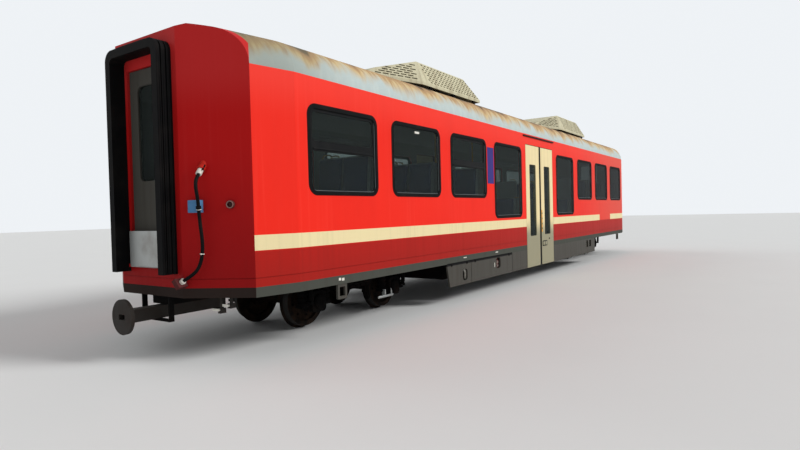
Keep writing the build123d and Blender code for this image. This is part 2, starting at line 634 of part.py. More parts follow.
def make_windows():
    """Rubber frames, panes and vent sashes of the right side."""
    rubbers, panes, sashes = [], [], []
    outer_y = -HALF_WIDTH
    for x0, x1, z0, z1, vent in window_sizes():
        outer = rounded(x0, x1, z0, z1, WINDOW_RADIUS)
        radius = WINDOW_RADIUS - RUBBER_WIDTH
        inner = rounded(x0 + RUBBER_WIDTH, x1 - RUBBER_WIDTH, z0 + RUBBER_WIDTH, z1 - RUBBER_WIDTH, radius)
        rubbers.append(across(outer - inner, outer_y - RUBBER_PROUD, outer_y + RUBBER_DEPTH))
        edge = RUBBER_WIDTH + REST_GAP
        light = rounded(x0 + edge, x1 - edge, z0 + edge, z1 - edge, radius - REST_GAP)
        glass_y = outer_y + GLASS_RECESS
        if not vent:
            panes.append(across(light, glass_y, glass_y + GLASS_THICK))
            continue
        upper = Pos((x0 + x1) / 2, (VENT_BAR_BOTTOM + z1) / 2) * Rectangle(x1 - x0, z1 - VENT_BAR_BOTTOM)
        panes.append(across(light - upper, glass_y, glass_y + GLASS_THICK))
        side = edge + VENT_FRAME
        hole = rounded(x0 + side, x1 - side, VENT_BAR_TOP, z1 - side, radius - VENT_FRAME)
        sash = across((light & upper) - hole, glass_y - REST_GAP, glass_y + VENT_DEPTH)
        sashes.append(sash)
        gap = side + REST_GAP
        small = rounded(x0 + gap, x1 - gap, VENT_BAR_TOP + REST_GAP, z1 - gap, radius - VENT_FRAME - REST_GAP)
        panes.append(across(small, glass_y + 4, glass_y + 4 + GLASS_THICK))
    return rubbers, panes, sashes


def make_plug_door():
    """Leaves, panes and rubbers of the right-side double door, shut flush in its opening."""
    middle = (DOOR_START + DOOR_END) / 2
    spans = [(DOOR_START, middle - DOOR_MIDDLE_RUBBER / 2), (middle + DOOR_MIDDLE_RUBBER / 2, DOOR_END)]
    y0, y1 = -HALF_WIDTH, -HALF_WIDTH + DOOR_THICK
    leaves, panes = [], []
    rubber = outline([(DOOR_OPEN_START, DOOR_BOTTOM), (DOOR_OPEN_END, DOOR_BOTTOM),
                      (DOOR_OPEN_END, DOOR_OPEN_TOP), (DOOR_OPEN_START, DOOR_OPEN_TOP)])
    for x0, x1 in spans:
        leaf = block(x0, x1, y0, y1, DOOR_BOTTOM, DOOR_TOP)
        centre = (x0 + x1) / 2
        half = DOOR_GLASS_WIDTH / 2
        hole = rounded(centre - half, centre + half, DOOR_GLASS_BOTTOM, DOOR_GLASS_TOP, DOOR_GLASS_RADIUS)
        leaves.append(leaf - across(hole, y0 - 1, y1 + 1))
        pane = rounded(centre - half + REST_GAP, centre + half - REST_GAP,
                       DOOR_GLASS_BOTTOM + REST_GAP, DOOR_GLASS_TOP - REST_GAP, DOOR_GLASS_RADIUS - REST_GAP)
        panes.append(across(pane, y0 + GLASS_RECESS, y0 + GLASS_RECESS + GLASS_THICK))
        rubber = rubber - outline([(x0, DOOR_BOTTOM - 1), (x1, DOOR_BOTTOM - 1), (x1, DOOR_TOP), (x0, DOOR_TOP)])
    seal = across(rubber, y0 + DOOR_RUBBER_RECESS, y1)
    return leaves, panes, seal


def hood(start, inset):
    """Outer form of a roof unit above its rim, moved in by inset: a body and a narrowing nose."""
    base = ROOF_UNIT_BASE + ROOF_UNIT_RIM
    top = ROOF_UNIT_BASE + ROOF_UNIT_HEIGHT - inset
    wide, narrow = ROOF_UNIT_HALF - inset, ROOF_UNIT_TOP_HALF - inset
    shoulder = (start + ROOF_UNIT_SHOULDER, wide, base)
    apex = (start, narrow, top)
    tip = (start - ROOF_UNIT_NOSE + 2 * inset, ROOF_UNIT_NOSE_HALF - inset, base)
    tip_top = (start - ROOF_UNIT_NOSE_TOP + inset, 0, ROOF_UNIT_BASE + ROOF_UNIT_NOSE_HEIGHT - inset)
    side = (Vector(*apex) - Vector(*shoulder)).cross(Vector(*tip) - Vector(*shoulder))
    ahead = Vector(*tip_top) - Vector(*shoulder)
    tip_half = -(side.X * ahead.X + side.Z * ahead.Z) / side.Y + wide
    tip_top = (tip_top[0], tip_half, tip_top[2])
    tail = (start + ROOF_UNIT_LENGTH - inset, wide, base)
    tail_top = (start + ROOF_UNIT_TOP_LENGTH - inset, narrow, top)
    frames = [(tip, tip_top), (shoulder, apex), (tail, tail_top)]
    faces = []
    for low, high in frames:
        ring = [low, high, (high[0], -high[1], high[2]), (low[0], -low[1], low[2])]
        faces.append(make_face(Polyline(*ring, close=True)))
    return loft(faces[:2], ruled=True) + loft(faces[1:], ruled=True), [tip, shoulder, tail]


def make_roof_unit(start):
    """Hollow hood of one roof unit on its upright rim, open below."""
    shell, edge = hood(start, 0)
    inner, inner_edge = hood(start, ROOF_UNIT_SHEET)
    rims = []
    for corner_points in (edge, inner_edge):
        half = [(x, y) for x, y, z in corner_points]
        ring = half + [(x, -y) for x, y in reversed(half)]
        rims.append(flat(ring, ROOF_UNIT_BASE, ROOF_UNIT_BASE + ROOF_UNIT_RIM))
    return (shell + rims[0]) - inner - rims[1]


def make_roof_feet(start):
    """Short feet between the roof and the rim of one roof unit."""
    feet = []
    y_out = ROOF_UNIT_HALF
    y_in = ROOF_UNIT_HALF - ROOF_UNIT_SHEET
    for fraction in (0.12, 0.5, 0.88):
        x = start + ROOF_UNIT_SHOULDER + (ROOF_UNIT_LENGTH - ROOF_UNIT_SHOULDER) * fraction
        for side in (-1, 1):
            face = outline([(side * y_in, ROOF_UNIT_BASE), (side * y_out, ROOF_UNIT_BASE),
                            (side * y_out, envelope_top(y_out) + REST_GAP),
                            (side * y_in, envelope_top(y_in) + REST_GAP)])
            feet.append(along(face, x - FOOT_SIZE / 2, x + FOOT_SIZE / 2))
    return feet


def envelope_top(y):
    """Height of the roof's outer surface at a distance y from the middle."""
    return CROWN_CENTRE + math.sqrt(CROWN_RADIUS ** 2 - y ** 2)


def make_wheelset(x):
    """Axle with two flanged wheels, turned about one axis."""
    flange_back = GAUGE / 2 - 28
    tread_start = GAUGE / 2
    tread_end = flange_back + RIM_WIDTH
    flange = WHEEL_RADIUS + FLANGE_DEPTH
    rim_in = WHEEL_RADIUS - RIM_THICK
    web_y = (flange_back + tread_end) / 2
    end = JOURNAL_Y + JOURNAL_LENGTH / 2
    half = [(0, 0), (AXLE_RADIUS, 0), (AXLE_RADIUS, flange_back - 20), (HUB_RADIUS, flange_back - 20),
            (HUB_RADIUS, web_y - WEB_THICK / 2), (rim_in, web_y - WEB_THICK / 2), (rim_in, flange_back),
            (flange - 8, flange_back), (flange, flange_back + 9), (flange, flange_back + 15),
            (WHEEL_RADIUS, tread_start + 4), (WHEEL_RADIUS - 4, tread_end), (rim_in, tread_end),
            (rim_in, web_y + WEB_THICK / 2), (HUB_RADIUS, web_y + WEB_THICK / 2), (HUB_RADIUS, tread_end),
            (AXLE_RADIUS, tread_end), (AXLE_RADIUS, end), (0, end)]
    profile = outline(half)
    solid = revolve(profile, Axis.Y)
    solid = solid + mirror(solid, about=Plane.XZ)
    return Pos(x, 0, AXLE_LEVEL) * solid


def make_bogie(x):
    """Frame, axle boxes, springs and brake gear of the bogie at x."""
    y = JOURNAL_Y
    half_base = WHEELBASE / 2
    end = half_base + SIDE_BEAM_OVERHANG
    top, low = SIDE_BEAM_TOP, SIDE_BEAM_TOP - SIDE_BEAM_DROP
    deep = SIDE_BEAM_DEPTH
    knee = half_base - PRIMARY_SPRING_OFFSET - PRIMARY_SPRING_RADIUS
    flat_half = AIR_SPRING_RADIUS + 20
    right = [(flat_half, low), (knee, top), (end, top), (end, top - deep + 30), (end - 40, top - deep),
             (knee, top - deep), (flat_half, low - deep), (0, low - deep)]
    beam_face = outline([(0, low)] + right + [(-px, pz) for px, pz in reversed(right[:-1])])
    beam = across(beam_face, -y - SIDE_BEAM_WIDTH / 2, -y + SIDE_BEAM_WIDTH / 2)
    inner = y - SIDE_BEAM_WIDTH / 2
    transom = block(-TRANSOM_LENGTH / 2, TRANSOM_LENGTH / 2, -inner, inner, TRANSOM_BOTTOM, TRANSOM_TOP)
    centre = rod((0, 0, TRANSOM_BOTTOM), (0, 0, TRANSOM_TOP + 40), PIVOT_PIN_RADIUS + 60)
    frame = transom + centre + pair(beam)
    frame = frame - rod((0, 0, TRANSOM_BOTTOM - 1), (0, 0, TRANSOM_TOP + 60), PIVOT_PIN_RADIUS + RUNNING_GAP)
    seat_half = AIR_SPRING_RADIUS + 10
    for side in (-1, 1):
        frame = frame + block(-seat_half, seat_half, side * y - seat_half, side * y + seat_half, low - 20, low)
    boxes, springs = [], []
    for axle in (-half_base, half_base):
        boxes += pair(Pos(axle, 0, 0) * make_axle_box())
        for offset in (-PRIMARY_SPRING_OFFSET, PRIMARY_SPRING_OFFSET):
            springs += pair(Pos(axle + offset, -y, 0) * make_primary_spring())
    springs += pair(Pos(0, -y, low) * make_air_spring())
    brakes = [make_brake(side) for side in (-1, 1)]
    place = Pos(x, 0, 0)
    return [place * frame, [place * b for b in boxes], [place * s for s in springs], [place * b for b in brakes]]


def make_axle_box():
    """Right-side axle box round the journal, with a wing each way that carries a spring."""
    y0, y1 = -JOURNAL_Y - JOURNAL_LENGTH / 2 - 20, -JOURNAL_Y + JOURNAL_LENGTH / 2
    half = AXLE_BOX_LENGTH / 2
    high = AXLE_BOX_HEIGHT / 2
    box = across(rounded(-half, half, AXLE_LEVEL - high, AXLE_LEVEL + high, 50), y0, y1)
    wing = PRIMARY_SPRING_OFFSET + PRIMARY_SPRING_RADIUS
    wings = block(-wing, wing, -JOURNAL_Y - 55, -JOURNAL_Y + 55, SPRING_SEAT_LEVEL - SPRING_SEAT_THICK,
                  SPRING_SEAT_LEVEL)
    box = box + wings
    journal = rod((0, -JOURNAL_Y - JOURNAL_LENGTH / 2 - RUNNING_GAP, AXLE_LEVEL), (0, y1 + 1, AXLE_LEVEL),
                  AXLE_RADIUS + RUNNING_GAP)
    return box - journal


def make_primary_spring():
    """Rubber-metal spring: discs of rubber and steel in turn between wing and side beam."""
    bottom, top = SPRING_SEAT_LEVEL, SIDE_BEAM_TOP - SIDE_BEAM_DEPTH
    layer = (top - bottom) / (2 * PRIMARY_LAYERS + 1)
    points = [(0, bottom)]
    for k in range(2 * PRIMARY_LAYERS + 1):
        radius = PRIMARY_SPRING_RADIUS if k % 2 == 0 else PRIMARY_SPRING_RADIUS - 12
        points += [(radius, bottom + layer * k), (radius, bottom + layer * (k + 1))]
    points.append((0, top))
    return revolve(Plane.XZ * outline(points), Axis.Z)


def make_air_spring():
    """Air spring bellows on its seat, its top plate just under the bolster."""
    height = BOLSTER_BOTTOM - SLIDING_GAP - TRANSOM_TOP
    r = AIR_SPRING_RADIUS
    points = [(0, 0), (r - 50, 0), (r - 50, height * 0.25), (r - 20, height * 0.3), (r, height * 0.5),
              (r - 15, height * 0.75), (r - 50, height * 0.85), (r - 50, height), (0, height)]
    return revolve(Plane.XZ * outline(points), Axis.Z)


def make_brake(side):
    """Brake beam with its two shoes and hangers, between the transom and one axle."""
    axle = side * WHEELBASE / 2
    inner_r = WHEEL_RADIUS + SHOE_GAP
    outer_r = inner_r + SHOE_THICK
    tread_mid = GAUGE / 2 + 42
    ring = Circle(outer_r) - Circle(inner_r)
    reach = math.tan(math.radians(SHOE_ANGLE)) * outer_r
    wedge = outline([(0, 0), (-side * outer_r, reach), (-side * outer_r, -reach)])
    face = Pos(axle, AXLE_LEVEL) * (ring & wedge)
    beam_x = axle - side * (outer_r + BRAKE_BEAM_RADIUS - 12)
    gear = rod((beam_x, -tread_mid, AXLE_LEVEL), (beam_x, tread_mid, AXLE_LEVEL), BRAKE_BEAM_RADIUS)
    for y in (-tread_mid, tread_mid):
        gear = gear + across(face, y - 36, y + 36)
        gear = gear + block(beam_x - 15, beam_x + 15, y - 30, y + 30, AXLE_LEVEL - 60, AXLE_LEVEL + 60)
    transom_face = side * TRANSOM_LENGTH / 2
    for y in (-230, 230):
        gear = gear + block(min(transom_face, beam_x), max(transom_face, beam_x), y - 20, y + 20,
                            AXLE_LEVEL - 20, AXLE_LEVEL + 40)
    return gear


def make_coupler():
    """Centre-buffer coupling of end b: bored shank, buffer plate and slotted head with its pin bore."""
    half = COUPLER_SHANK / 2
    eye = rod((COUPLER_PIVOT_X, 0, COUPLER_LEVEL - half), (COUPLER_PIVOT_X, 0, COUPLER_LEVEL + half), half + 20)
    shank = block(COUPLER_PIVOT_X, COUPLER_HEAD_X - BUFFER_THICK, -half, half, COUPLER_LEVEL - half,
                  COUPLER_LEVEL + half)
    buffer = rod((COUPLER_HEAD_X - BUFFER_THICK, 0, COUPLER_LEVEL), (COUPLER_HEAD_X, 0, COUPLER_LEVEL), BUFFER_RADIUS)
    coupler = shank + eye + buffer
    coupler = coupler - rod((COUPLER_PIVOT_X, 0, COUPLER_LEVEL - half - 1), (COUPLER_PIVOT_X, 0, COUPLER_LEVEL + half + 1),
                            COUPLER_PIN_RADIUS + RUNNING_GAP)
    slot = block(COUPLER_HEAD_X - HOOK_LENGTH, COUPLER_HEAD_X + 1, -half - 60, half + 60,
                 COUPLER_LEVEL - HOOK_SLOT / 2, COUPLER_LEVEL + HOOK_SLOT / 2)
    slot = slot & block(COUPLER_HEAD_X - HOOK_LENGTH, COUPLER_HEAD_X + 1, -50, 50, 0, TOP)
    bore_x = COUPLER_HEAD_X - HOOK_LENGTH / 2 - BUFFER_THICK / 2
    bore = rod((bore_x, 0, COUPLER_LEVEL - half - 1), (bore_x, 0, COUPLER_LEVEL + half + 1), HOOK_BORE_RADIUS)
    return coupler - slot - bore


def make_benches():
    """Back-to-back benches in table order: (x of the back, faces towards, floor level)."""
    rows = []
    for side in (-1, 1):
        rows += [(side * LAST_BENCH_X, -side, FLOOR_HIGH), (side * (TROUGH_END + BENCH_OFFSET), side, FLOOR_HIGH),
                 (side * (TROUGH_END - BENCH_OFFSET), -side, FLOOR_LOW), (side * DOOR_BENCH_X, side, FLOOR_LOW)]
    for k in (1, 2):
        pillar = WINDOW_A_START + WINDOW_PITCH * k - (WINDOW_PITCH - WINDOW_WIDTH) / 2
        rows += [(pillar - SEAT_RECLINE, -1, FLOOR_HIGH), (pillar + SEAT_RECLINE, 1, FLOOR_HIGH)]
        pillar = WINDOW_B_START + WINDOW_PITCH * (k + 1) - (WINDOW_PITCH - WINDOW_WIDTH) / 2
        rows += [(pillar - SEAT_RECLINE, -1, FLOOR_HIGH), (pillar + SEAT_RECLINE, 1, FLOOR_HIGH)]
    shells, pads = [], []
    y0 = -HALF_WIDTH + SILL_DEPTH + TROUGH_PLATE + 10
    y1 = -AISLE_HALF - BENCH_GAP
    for x, face, floor in rows:
        shell, pad_parts = make_bench(x, face, floor, y0, y1)
        shells += pair(shell)
        for pad in pad_parts:
            pads += pair(pad)
    return shells, pads


def make_bench(x, face, floor, y0, y1):
    """One bench: a shell on a plinth, with seat and back pads."""
    seat = floor + SEAT_HEIGHT
    top = floor + SEAT_BACK_HEIGHT
    t, depth, lean = SEAT_SHELL, BENCH_DEPTH, SEAT_RECLINE
    under = seat - SEAT_PAD
    shell = outline([(x, top), (x + face * t, top), (x + face * (lean + t), under),
                     (x + face * (lean + depth), under), (x + face * (lean + depth), under - t),
                     (x + face * (lean + SEAT_PLINTH + 100), under - t), (x + face * (lean + SEAT_PLINTH + 100), floor),
                     (x + face * (lean + 60), floor), (x + face * (lean + 60), under - t),
                     (x + face * lean, under - t)])
    gap = 0.3
    seat_pad = outline([(x + face * (lean + t + SEAT_PAD + 4), under + gap), (x + face * (lean + depth), under + gap),
                        (x + face * (lean + depth), seat), (x + face * (lean + t + SEAT_PAD + 4), seat)])
    back_x0, back_x1 = x + face * (t + gap * 4), x + face * (lean + t + gap * 4)
    back_pad = outline([(back_x0, top), (back_x0 + face * SEAT_PAD, top),
                        (back_x1 + face * SEAT_PAD, under + gap), (back_x1, under + gap)])
    return across(shell, y0, y1), [across(seat_pad, y0 + 5, y1 - 5), across(back_pad, y0 + 5, y1 - 5)]


def panel_place(distance, level):
    """Plane on the right corner panel of end a: origin at a distance from the side corner, z out."""
    x = -(CORNER_X + distance * PANEL_ALONG[0])
    y = -(CORNER_Y + distance * PANEL_ALONG[1])
    return Plane(origin=(x, y, level), x_dir=(-PANEL_ALONG[0], -PANEL_ALONG[1], 0), z_dir=(-PANEL_OUT[0], -PANEL_OUT[1], 0))


def panel_point(distance, out, level):
    """Point that stands off the right corner panel of end a by out."""
    place = panel_place(distance, level)
    return place.origin + place.z_dir * out


def cable_points():
    """Route of the jumper cable, from the plug's end to the plug in the parking box."""
    return [panel_point(*point) for point in CABLE_ROUTE]


def clip_stretch():
    """Route points just above and below the clip, on the stretch that is nearest to the holder's level."""
    stretches = zip(CABLE_ROUTE, CABLE_ROUTE[1:])
    return min(stretches, key=lambda ends: abs((ends[0][2] + ends[1][2]) / 2 - HOLDER_AT[1]))


def make_end_sockets():
    """Ring socket, angled jumper socket and parking box on the right corner panel of end a."""
    place = panel_place(*SOCKET_RING)
    ring = extrude(place * (Circle(SOCKET_RING_RADIUS) - Circle(SOCKET_RING_RADIUS - 14)), 30)
    ring = ring + extrude(place * Circle(SOCKET_RING_RADIUS), 6)
    points = cable_points()
    axis = (points[1] - points[0]).normalized()
    mouth = points[0] - axis * PLUG_LENGTH
    socket = rod(mouth - axis * SOCKET_REACH, mouth, JUMPER_SOCKET_RADIUS)
    behind_panel = extrude(panel_place(PANEL_LENGTH / 2, mouth.Z) * Rectangle(3 * PANEL_LENGTH, 4 * PANEL_LENGTH), -PANEL_LENGTH)
    socket = socket - behind_panel
    end = points[-1]
    axis = (end - points[-2]).normalized()
    width, height, depth = PARK_BOX
    far = end + axis * PARK_PLUG_LENGTH
    box = extrude(Plane(origin=far, x_dir=(0, 0, 1), z_dir=axis) * Rectangle(height, depth), width)
    box = box - behind_panel
    return [ring, socket, box]


def make_jumper_plugs():
    """Plug in the jumper socket and plug in the parking box, each on the cable's end."""
    points = cable_points()
    axis = (points[1] - points[0]).normalized()
    upper = rod(points[0] - axis * PLUG_LENGTH, points[0], PLUG_RADIUS)
    axis = (points[-1] - points[-2]).normalized()
    lower = rod(points[-1], points[-1] + axis * PARK_PLUG_LENGTH, PLUG_RADIUS)
    return [upper, lower]


def make_cable():
    """Jumper cable as one round tube of straight runs and tangent arcs."""
    points = cable_points()
    radii = []
    for before, at, after in zip(points, points[1:], points[2:]):
        turn = (at - before).get_angle(after - at)
        run = min((at - before).length, (after - at).length)
        radii.append(0.45 * run / math.tan(math.radians(turn) / 2))
    print("jumper cable bend radii in mm:", [round(radius) for radius in radii])
    path = FilletPolyline(*points, radius=radii)
    start = Plane(origin=points[0], z_dir=points[1] - points[0])
    return sweep(start * Circle(CABLE_RADIUS), path=path)


def make_holder():
    """Box on the corner panel with a clip ring that guides the jumper cable past it."""
    width, height, depth = HOLDER_SIZE
    box = extrude(panel_place(*HOLDER_AT) * Rectangle(width, height), depth)
    upper, lower = clip_stretch()
    above, below = panel_point(*upper), panel_point(*lower)
    centre = (above + below) / 2
    half = (below - above).normalized() * (CLIP_HEIGHT / 2)
    ring = rod(centre - half, centre + half, CLIP_RADIUS + CLIP_WALL) - rod(centre - half * 2, centre + half * 2, CLIP_RADIUS)
    distance, out, level = [(a + b) / 2 for a, b in zip(upper, lower)]
    arm = rod(panel_point(distance, depth - 1, level), panel_point(distance, out - CLIP_RADIUS - 1, level), CLIP_WALL)
    return box + arm + ring


def make_brake_cocks():
    """Air pipe ends with their cocks under the sill at both ends."""
    pieces = []
    for x, y, drop in BRAKE_COCKS:
        pipe = rod((-x, -y, SILL_BOTTOM), (-x, -y, SILL_BOTTOM - drop), COCK_RADIUS)
        body = block(-x - 30, -x + 30, -y - 22, -y + 22, SILL_BOTTOM - drop, SILL_BOTTOM - drop + 45)
        piece = pipe + body
        pieces += [piece, Rot(0, 0, 180) * piece]
    return pieces


def make_underfloor_boxes():
    """Equipment cases hung from the cross bearers between bogies and low floor."""
    top = BEARER_BOTTOM
    inner = TROUGH_END + FLOOR_THICK + CASE_GAP
    return both_ends(block(inner, CASE_END, -CASE_HALF, CASE_HALF, CASE_BOTTOM, top))


def make_loops():
    """Flat loop brackets under the sills."""
    loops = []
    y0, y1 = -HALF_WIDTH + 8, -HALF_WIDTH + 33
    for x in LOOP_X:
        outer = rounded(x - LOOP_WIDTH / 2, x + LOOP_WIDTH / 2, SILL_BOTTOM - LOOP_HEIGHT, SILL_BOTTOM + 40, 16)
        hole = rounded(x - LOOP_WIDTH / 2 + LOOP_BAR, x + LOOP_WIDTH / 2 - LOOP_BAR,
                       SILL_BOTTOM - LOOP_HEIGHT + LOOP_BAR, SILL_BOTTOM - LOOP_BAR, 8)
        loop = across(outer - hole, y0, y1) - block(x - 200, x + 200, -HALF_WIDTH - 1, 0, SILL_BOTTOM, SILL_TOP)
        loops += pair(loop)
    return loops


def make_poles():
    """Grab poles beside the doors, from the low floor to the ceiling."""
    ceiling = CROWN_CENTRE + math.sqrt((CROWN_RADIUS - WALL) ** 2 - POLE_Y ** 2)
    return [rod((x, y, FLOOR_LOW), (x, y, ceiling - 6), POLE_RADIUS) for x in POLE_X for y in (-POLE_Y, POLE_Y)]


def main():
    """Build every node and write it."""
    os.makedirs("parts", exist_ok=True)
    wall, roof, end_wall = make_shell()
    save("side_wall_right", wall)
    save("side_wall_left", mirror(wall, about=Plane.XZ))
    gutter = block(GUTTER_START, GUTTER_END, -HALF_WIDTH - GUTTER_SIZE, -HALF_WIDTH, GUTTER_LEVEL,
                   GUTTER_LEVEL + GUTTER_SIZE)
    save("rain_gutters", pair(gutter))
    save("roof", roof)
    save("underframe", make_underframe())
    save("floor", make_floor())
    save("skirts", make_skirts())
    rubbers, panes, sashes = make_windows()
    leaves, door_panes, door_seal = make_plug_door()
    save("window_rubbers", [s for rubber in rubbers for s in pair(rubber)])
    save("window_glass", [s for pane in panes + door_panes for s in pair(pane)])
    save("vent_sashes", [s for sash in sashes for s in pair(sash)])
    save("plug_doors", [s for leaf in leaves for s in pair(leaf)])
    save("door_rubbers", pair(door_seal))
    save("roof_units", [make_roof_unit(start) for start in ROOF_UNIT_START])
    save("roof_unit_feet", [foot for start in ROOF_UNIT_START for foot in make_roof_feet(start)])
    save("gangway_frames", both_ends(make_gangway()))
    leaf, glass = make_end_door()
    bridge = make_bridge_plate()
    coupler = make_coupler()
    for end, turn in (("b", False), ("a", True)):
        for name, shape in (("end_wall", end_wall), ("end_door", leaf), ("end_door_glass", glass),
                            ("bridge_plate", bridge), ("coupler", coupler)):
            save(f"{name}_{end}", mirror(shape, about=Plane.YZ) if turn else shape)
    for index in range(2):
        flap = make_flap(index)
        save(f"flap_right_{index + 1}", flap)
        save(f"flap_left_{index + 1}", mirror(flap, about=Plane.XZ))
    for end, x in (("a", -PIVOT_X), ("b", PIVOT_X)):
        frame, boxes, springs, brakes = make_bogie(x)
        save(f"bogie_frame_{end}", frame)
        save(f"axle_boxes_{end}", boxes)
        save(f"springs_{end}", springs)
        save(f"brake_gear_{end}", brakes)
        for number, offset in ((1, -WHEELBASE / 2), (2, WHEELBASE / 2)):
            save(f"wheelset_{end}{number}", make_wheelset(x + offset))
    shells, pads = make_benches()
    save("seat_shells", shells)
    save("seat_pads", pads)
    save("grab_poles", make_poles())
    save("underfloor_cases", make_underfloor_boxes())
    save("loop_brackets", make_loops())
    save("end_sockets", make_end_sockets())
    save("cable_holder", make_holder())
    save("jumper_plugs", make_jumper_plugs())
    save("jumper_cable", make_cable())
    save("brake_cocks", make_brake_cocks())


main()
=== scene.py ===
"""Finishes, small fittings, soft goods, light and camera of the low-floor centre coach, in metres.

+X runs along the coach, +Z up, and z = 0 is the level of the wheel flange tips.
End a is at -X and end b at +X. The right side is at -Y and the left side at +Y.
"""

import functools
import logging
import math
from dataclasses import dataclass
from enum import Enum
from typing import Callable, Iterable, Sequence

import bpy
from mathutils import Matrix, Vector


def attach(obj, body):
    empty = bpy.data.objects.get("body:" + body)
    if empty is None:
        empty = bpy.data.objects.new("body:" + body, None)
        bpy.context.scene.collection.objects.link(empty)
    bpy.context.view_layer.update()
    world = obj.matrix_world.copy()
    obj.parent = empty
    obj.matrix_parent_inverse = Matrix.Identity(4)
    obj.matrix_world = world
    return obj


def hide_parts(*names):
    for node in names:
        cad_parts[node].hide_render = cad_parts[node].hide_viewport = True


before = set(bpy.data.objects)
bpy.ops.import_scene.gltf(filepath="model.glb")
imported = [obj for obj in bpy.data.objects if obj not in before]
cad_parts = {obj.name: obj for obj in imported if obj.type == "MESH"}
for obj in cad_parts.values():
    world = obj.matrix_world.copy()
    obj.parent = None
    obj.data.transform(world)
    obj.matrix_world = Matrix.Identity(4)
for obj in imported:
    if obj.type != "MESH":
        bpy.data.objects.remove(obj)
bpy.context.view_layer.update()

Point = tuple[float, float, float]
Colour = tuple[float, float, float]
Span = tuple[float, float]
Edges = tuple[float, float, float, float]
Numbers = tuple[float, ...]
Spans = tuple[Span, ...]
Points = tuple[Point, ...]
Piece = bpy.types.Object
Socket = bpy.types.NodeSocket

log = logging.getLogger("coach")


def display(red: int, green: int, blue: int) -> Colour:
    """Linear colour of an 8-bit display colour.

    Args:
        red, green, blue: The display values, 0 to 255.

    Returns:
        The same colour as linear values.
    """
    shares = [value / 255 for value in (red, green, blue)]
    return tuple(s / 12.92 if s <= 0.04045 else ((s + 0.055) / 1.055) ** 2.4 for s in shares)


# Sizes


@dataclass(frozen=True)
class CoachSizes:
    """Main sizes of the coach that its fittings are set out from."""

    side_y: float = -1.2
    corner_x: float = 6.988
    corner_y: float = 1.11
    panel_sine: float = 0.4758
    panel_cosine: float = 0.8796
    stripe_low: float = 1.003
    stripe_high: float = 1.144
    crown_centre: float = -0.4424
    crown_radius: float = 3.605
    wall: float = 0.06
    floor_high: float = 0.877
    floor_low: float = 0.407
    trough_end: float = 2.275
    window_width: float = 1.15
    window_pitch: float = 1.435
    window_top: float = 2.428
    window_bottom: float = 1.51
    tall_bottom: float = 1.182
    window_starts: Numbers = (-6.36, -4.925, -3.49, -2.055, 0.93, 2.365, 3.8, 5.235)
    tall_windows: tuple[int, ...] = (3, 4)
    vent_windows: tuple[int, ...] = (0, 2)
    axle_level: float = 0.327
    half_base: float = 0.75

    def ceiling(self, y: float) -> float:
        """Level of the inner roof lining at a distance y from the middle."""
        return self.crown_centre + math.sqrt((self.crown_radius - self.wall) ** 2 - y ** 2)

    def panel_way(self) -> Vector:
        """The way that the right corner panel of end a faces."""
        return Vector((-self.panel_cosine, -self.panel_sine, 0.0))

    def panel(self, distance: float, out: float, level: float) -> Point:
        """Point before the right corner panel of end a.

        Args:
            distance: Along the panel from the side corner.
            out: Stand-off from the panel.
            level: Height.

        Returns:
            The point in the coach's frame.
        """
        x = -(self.corner_x + distance * self.panel_sine) - out * self.panel_cosine
        y = -(self.corner_y - distance * self.panel_cosine) - out * self.panel_sine
        return (x, y, level)


SIZES = CoachSizes()
PIVOTS = {"a": -4.93, "b": 4.93}
AXLES = {"a1": -5.68, "a2": -4.18, "b1": 4.18, "b2": 5.68}


# Materials


NUMBER_OF_VECTOR = ("LENGTH", "DOT_PRODUCT")


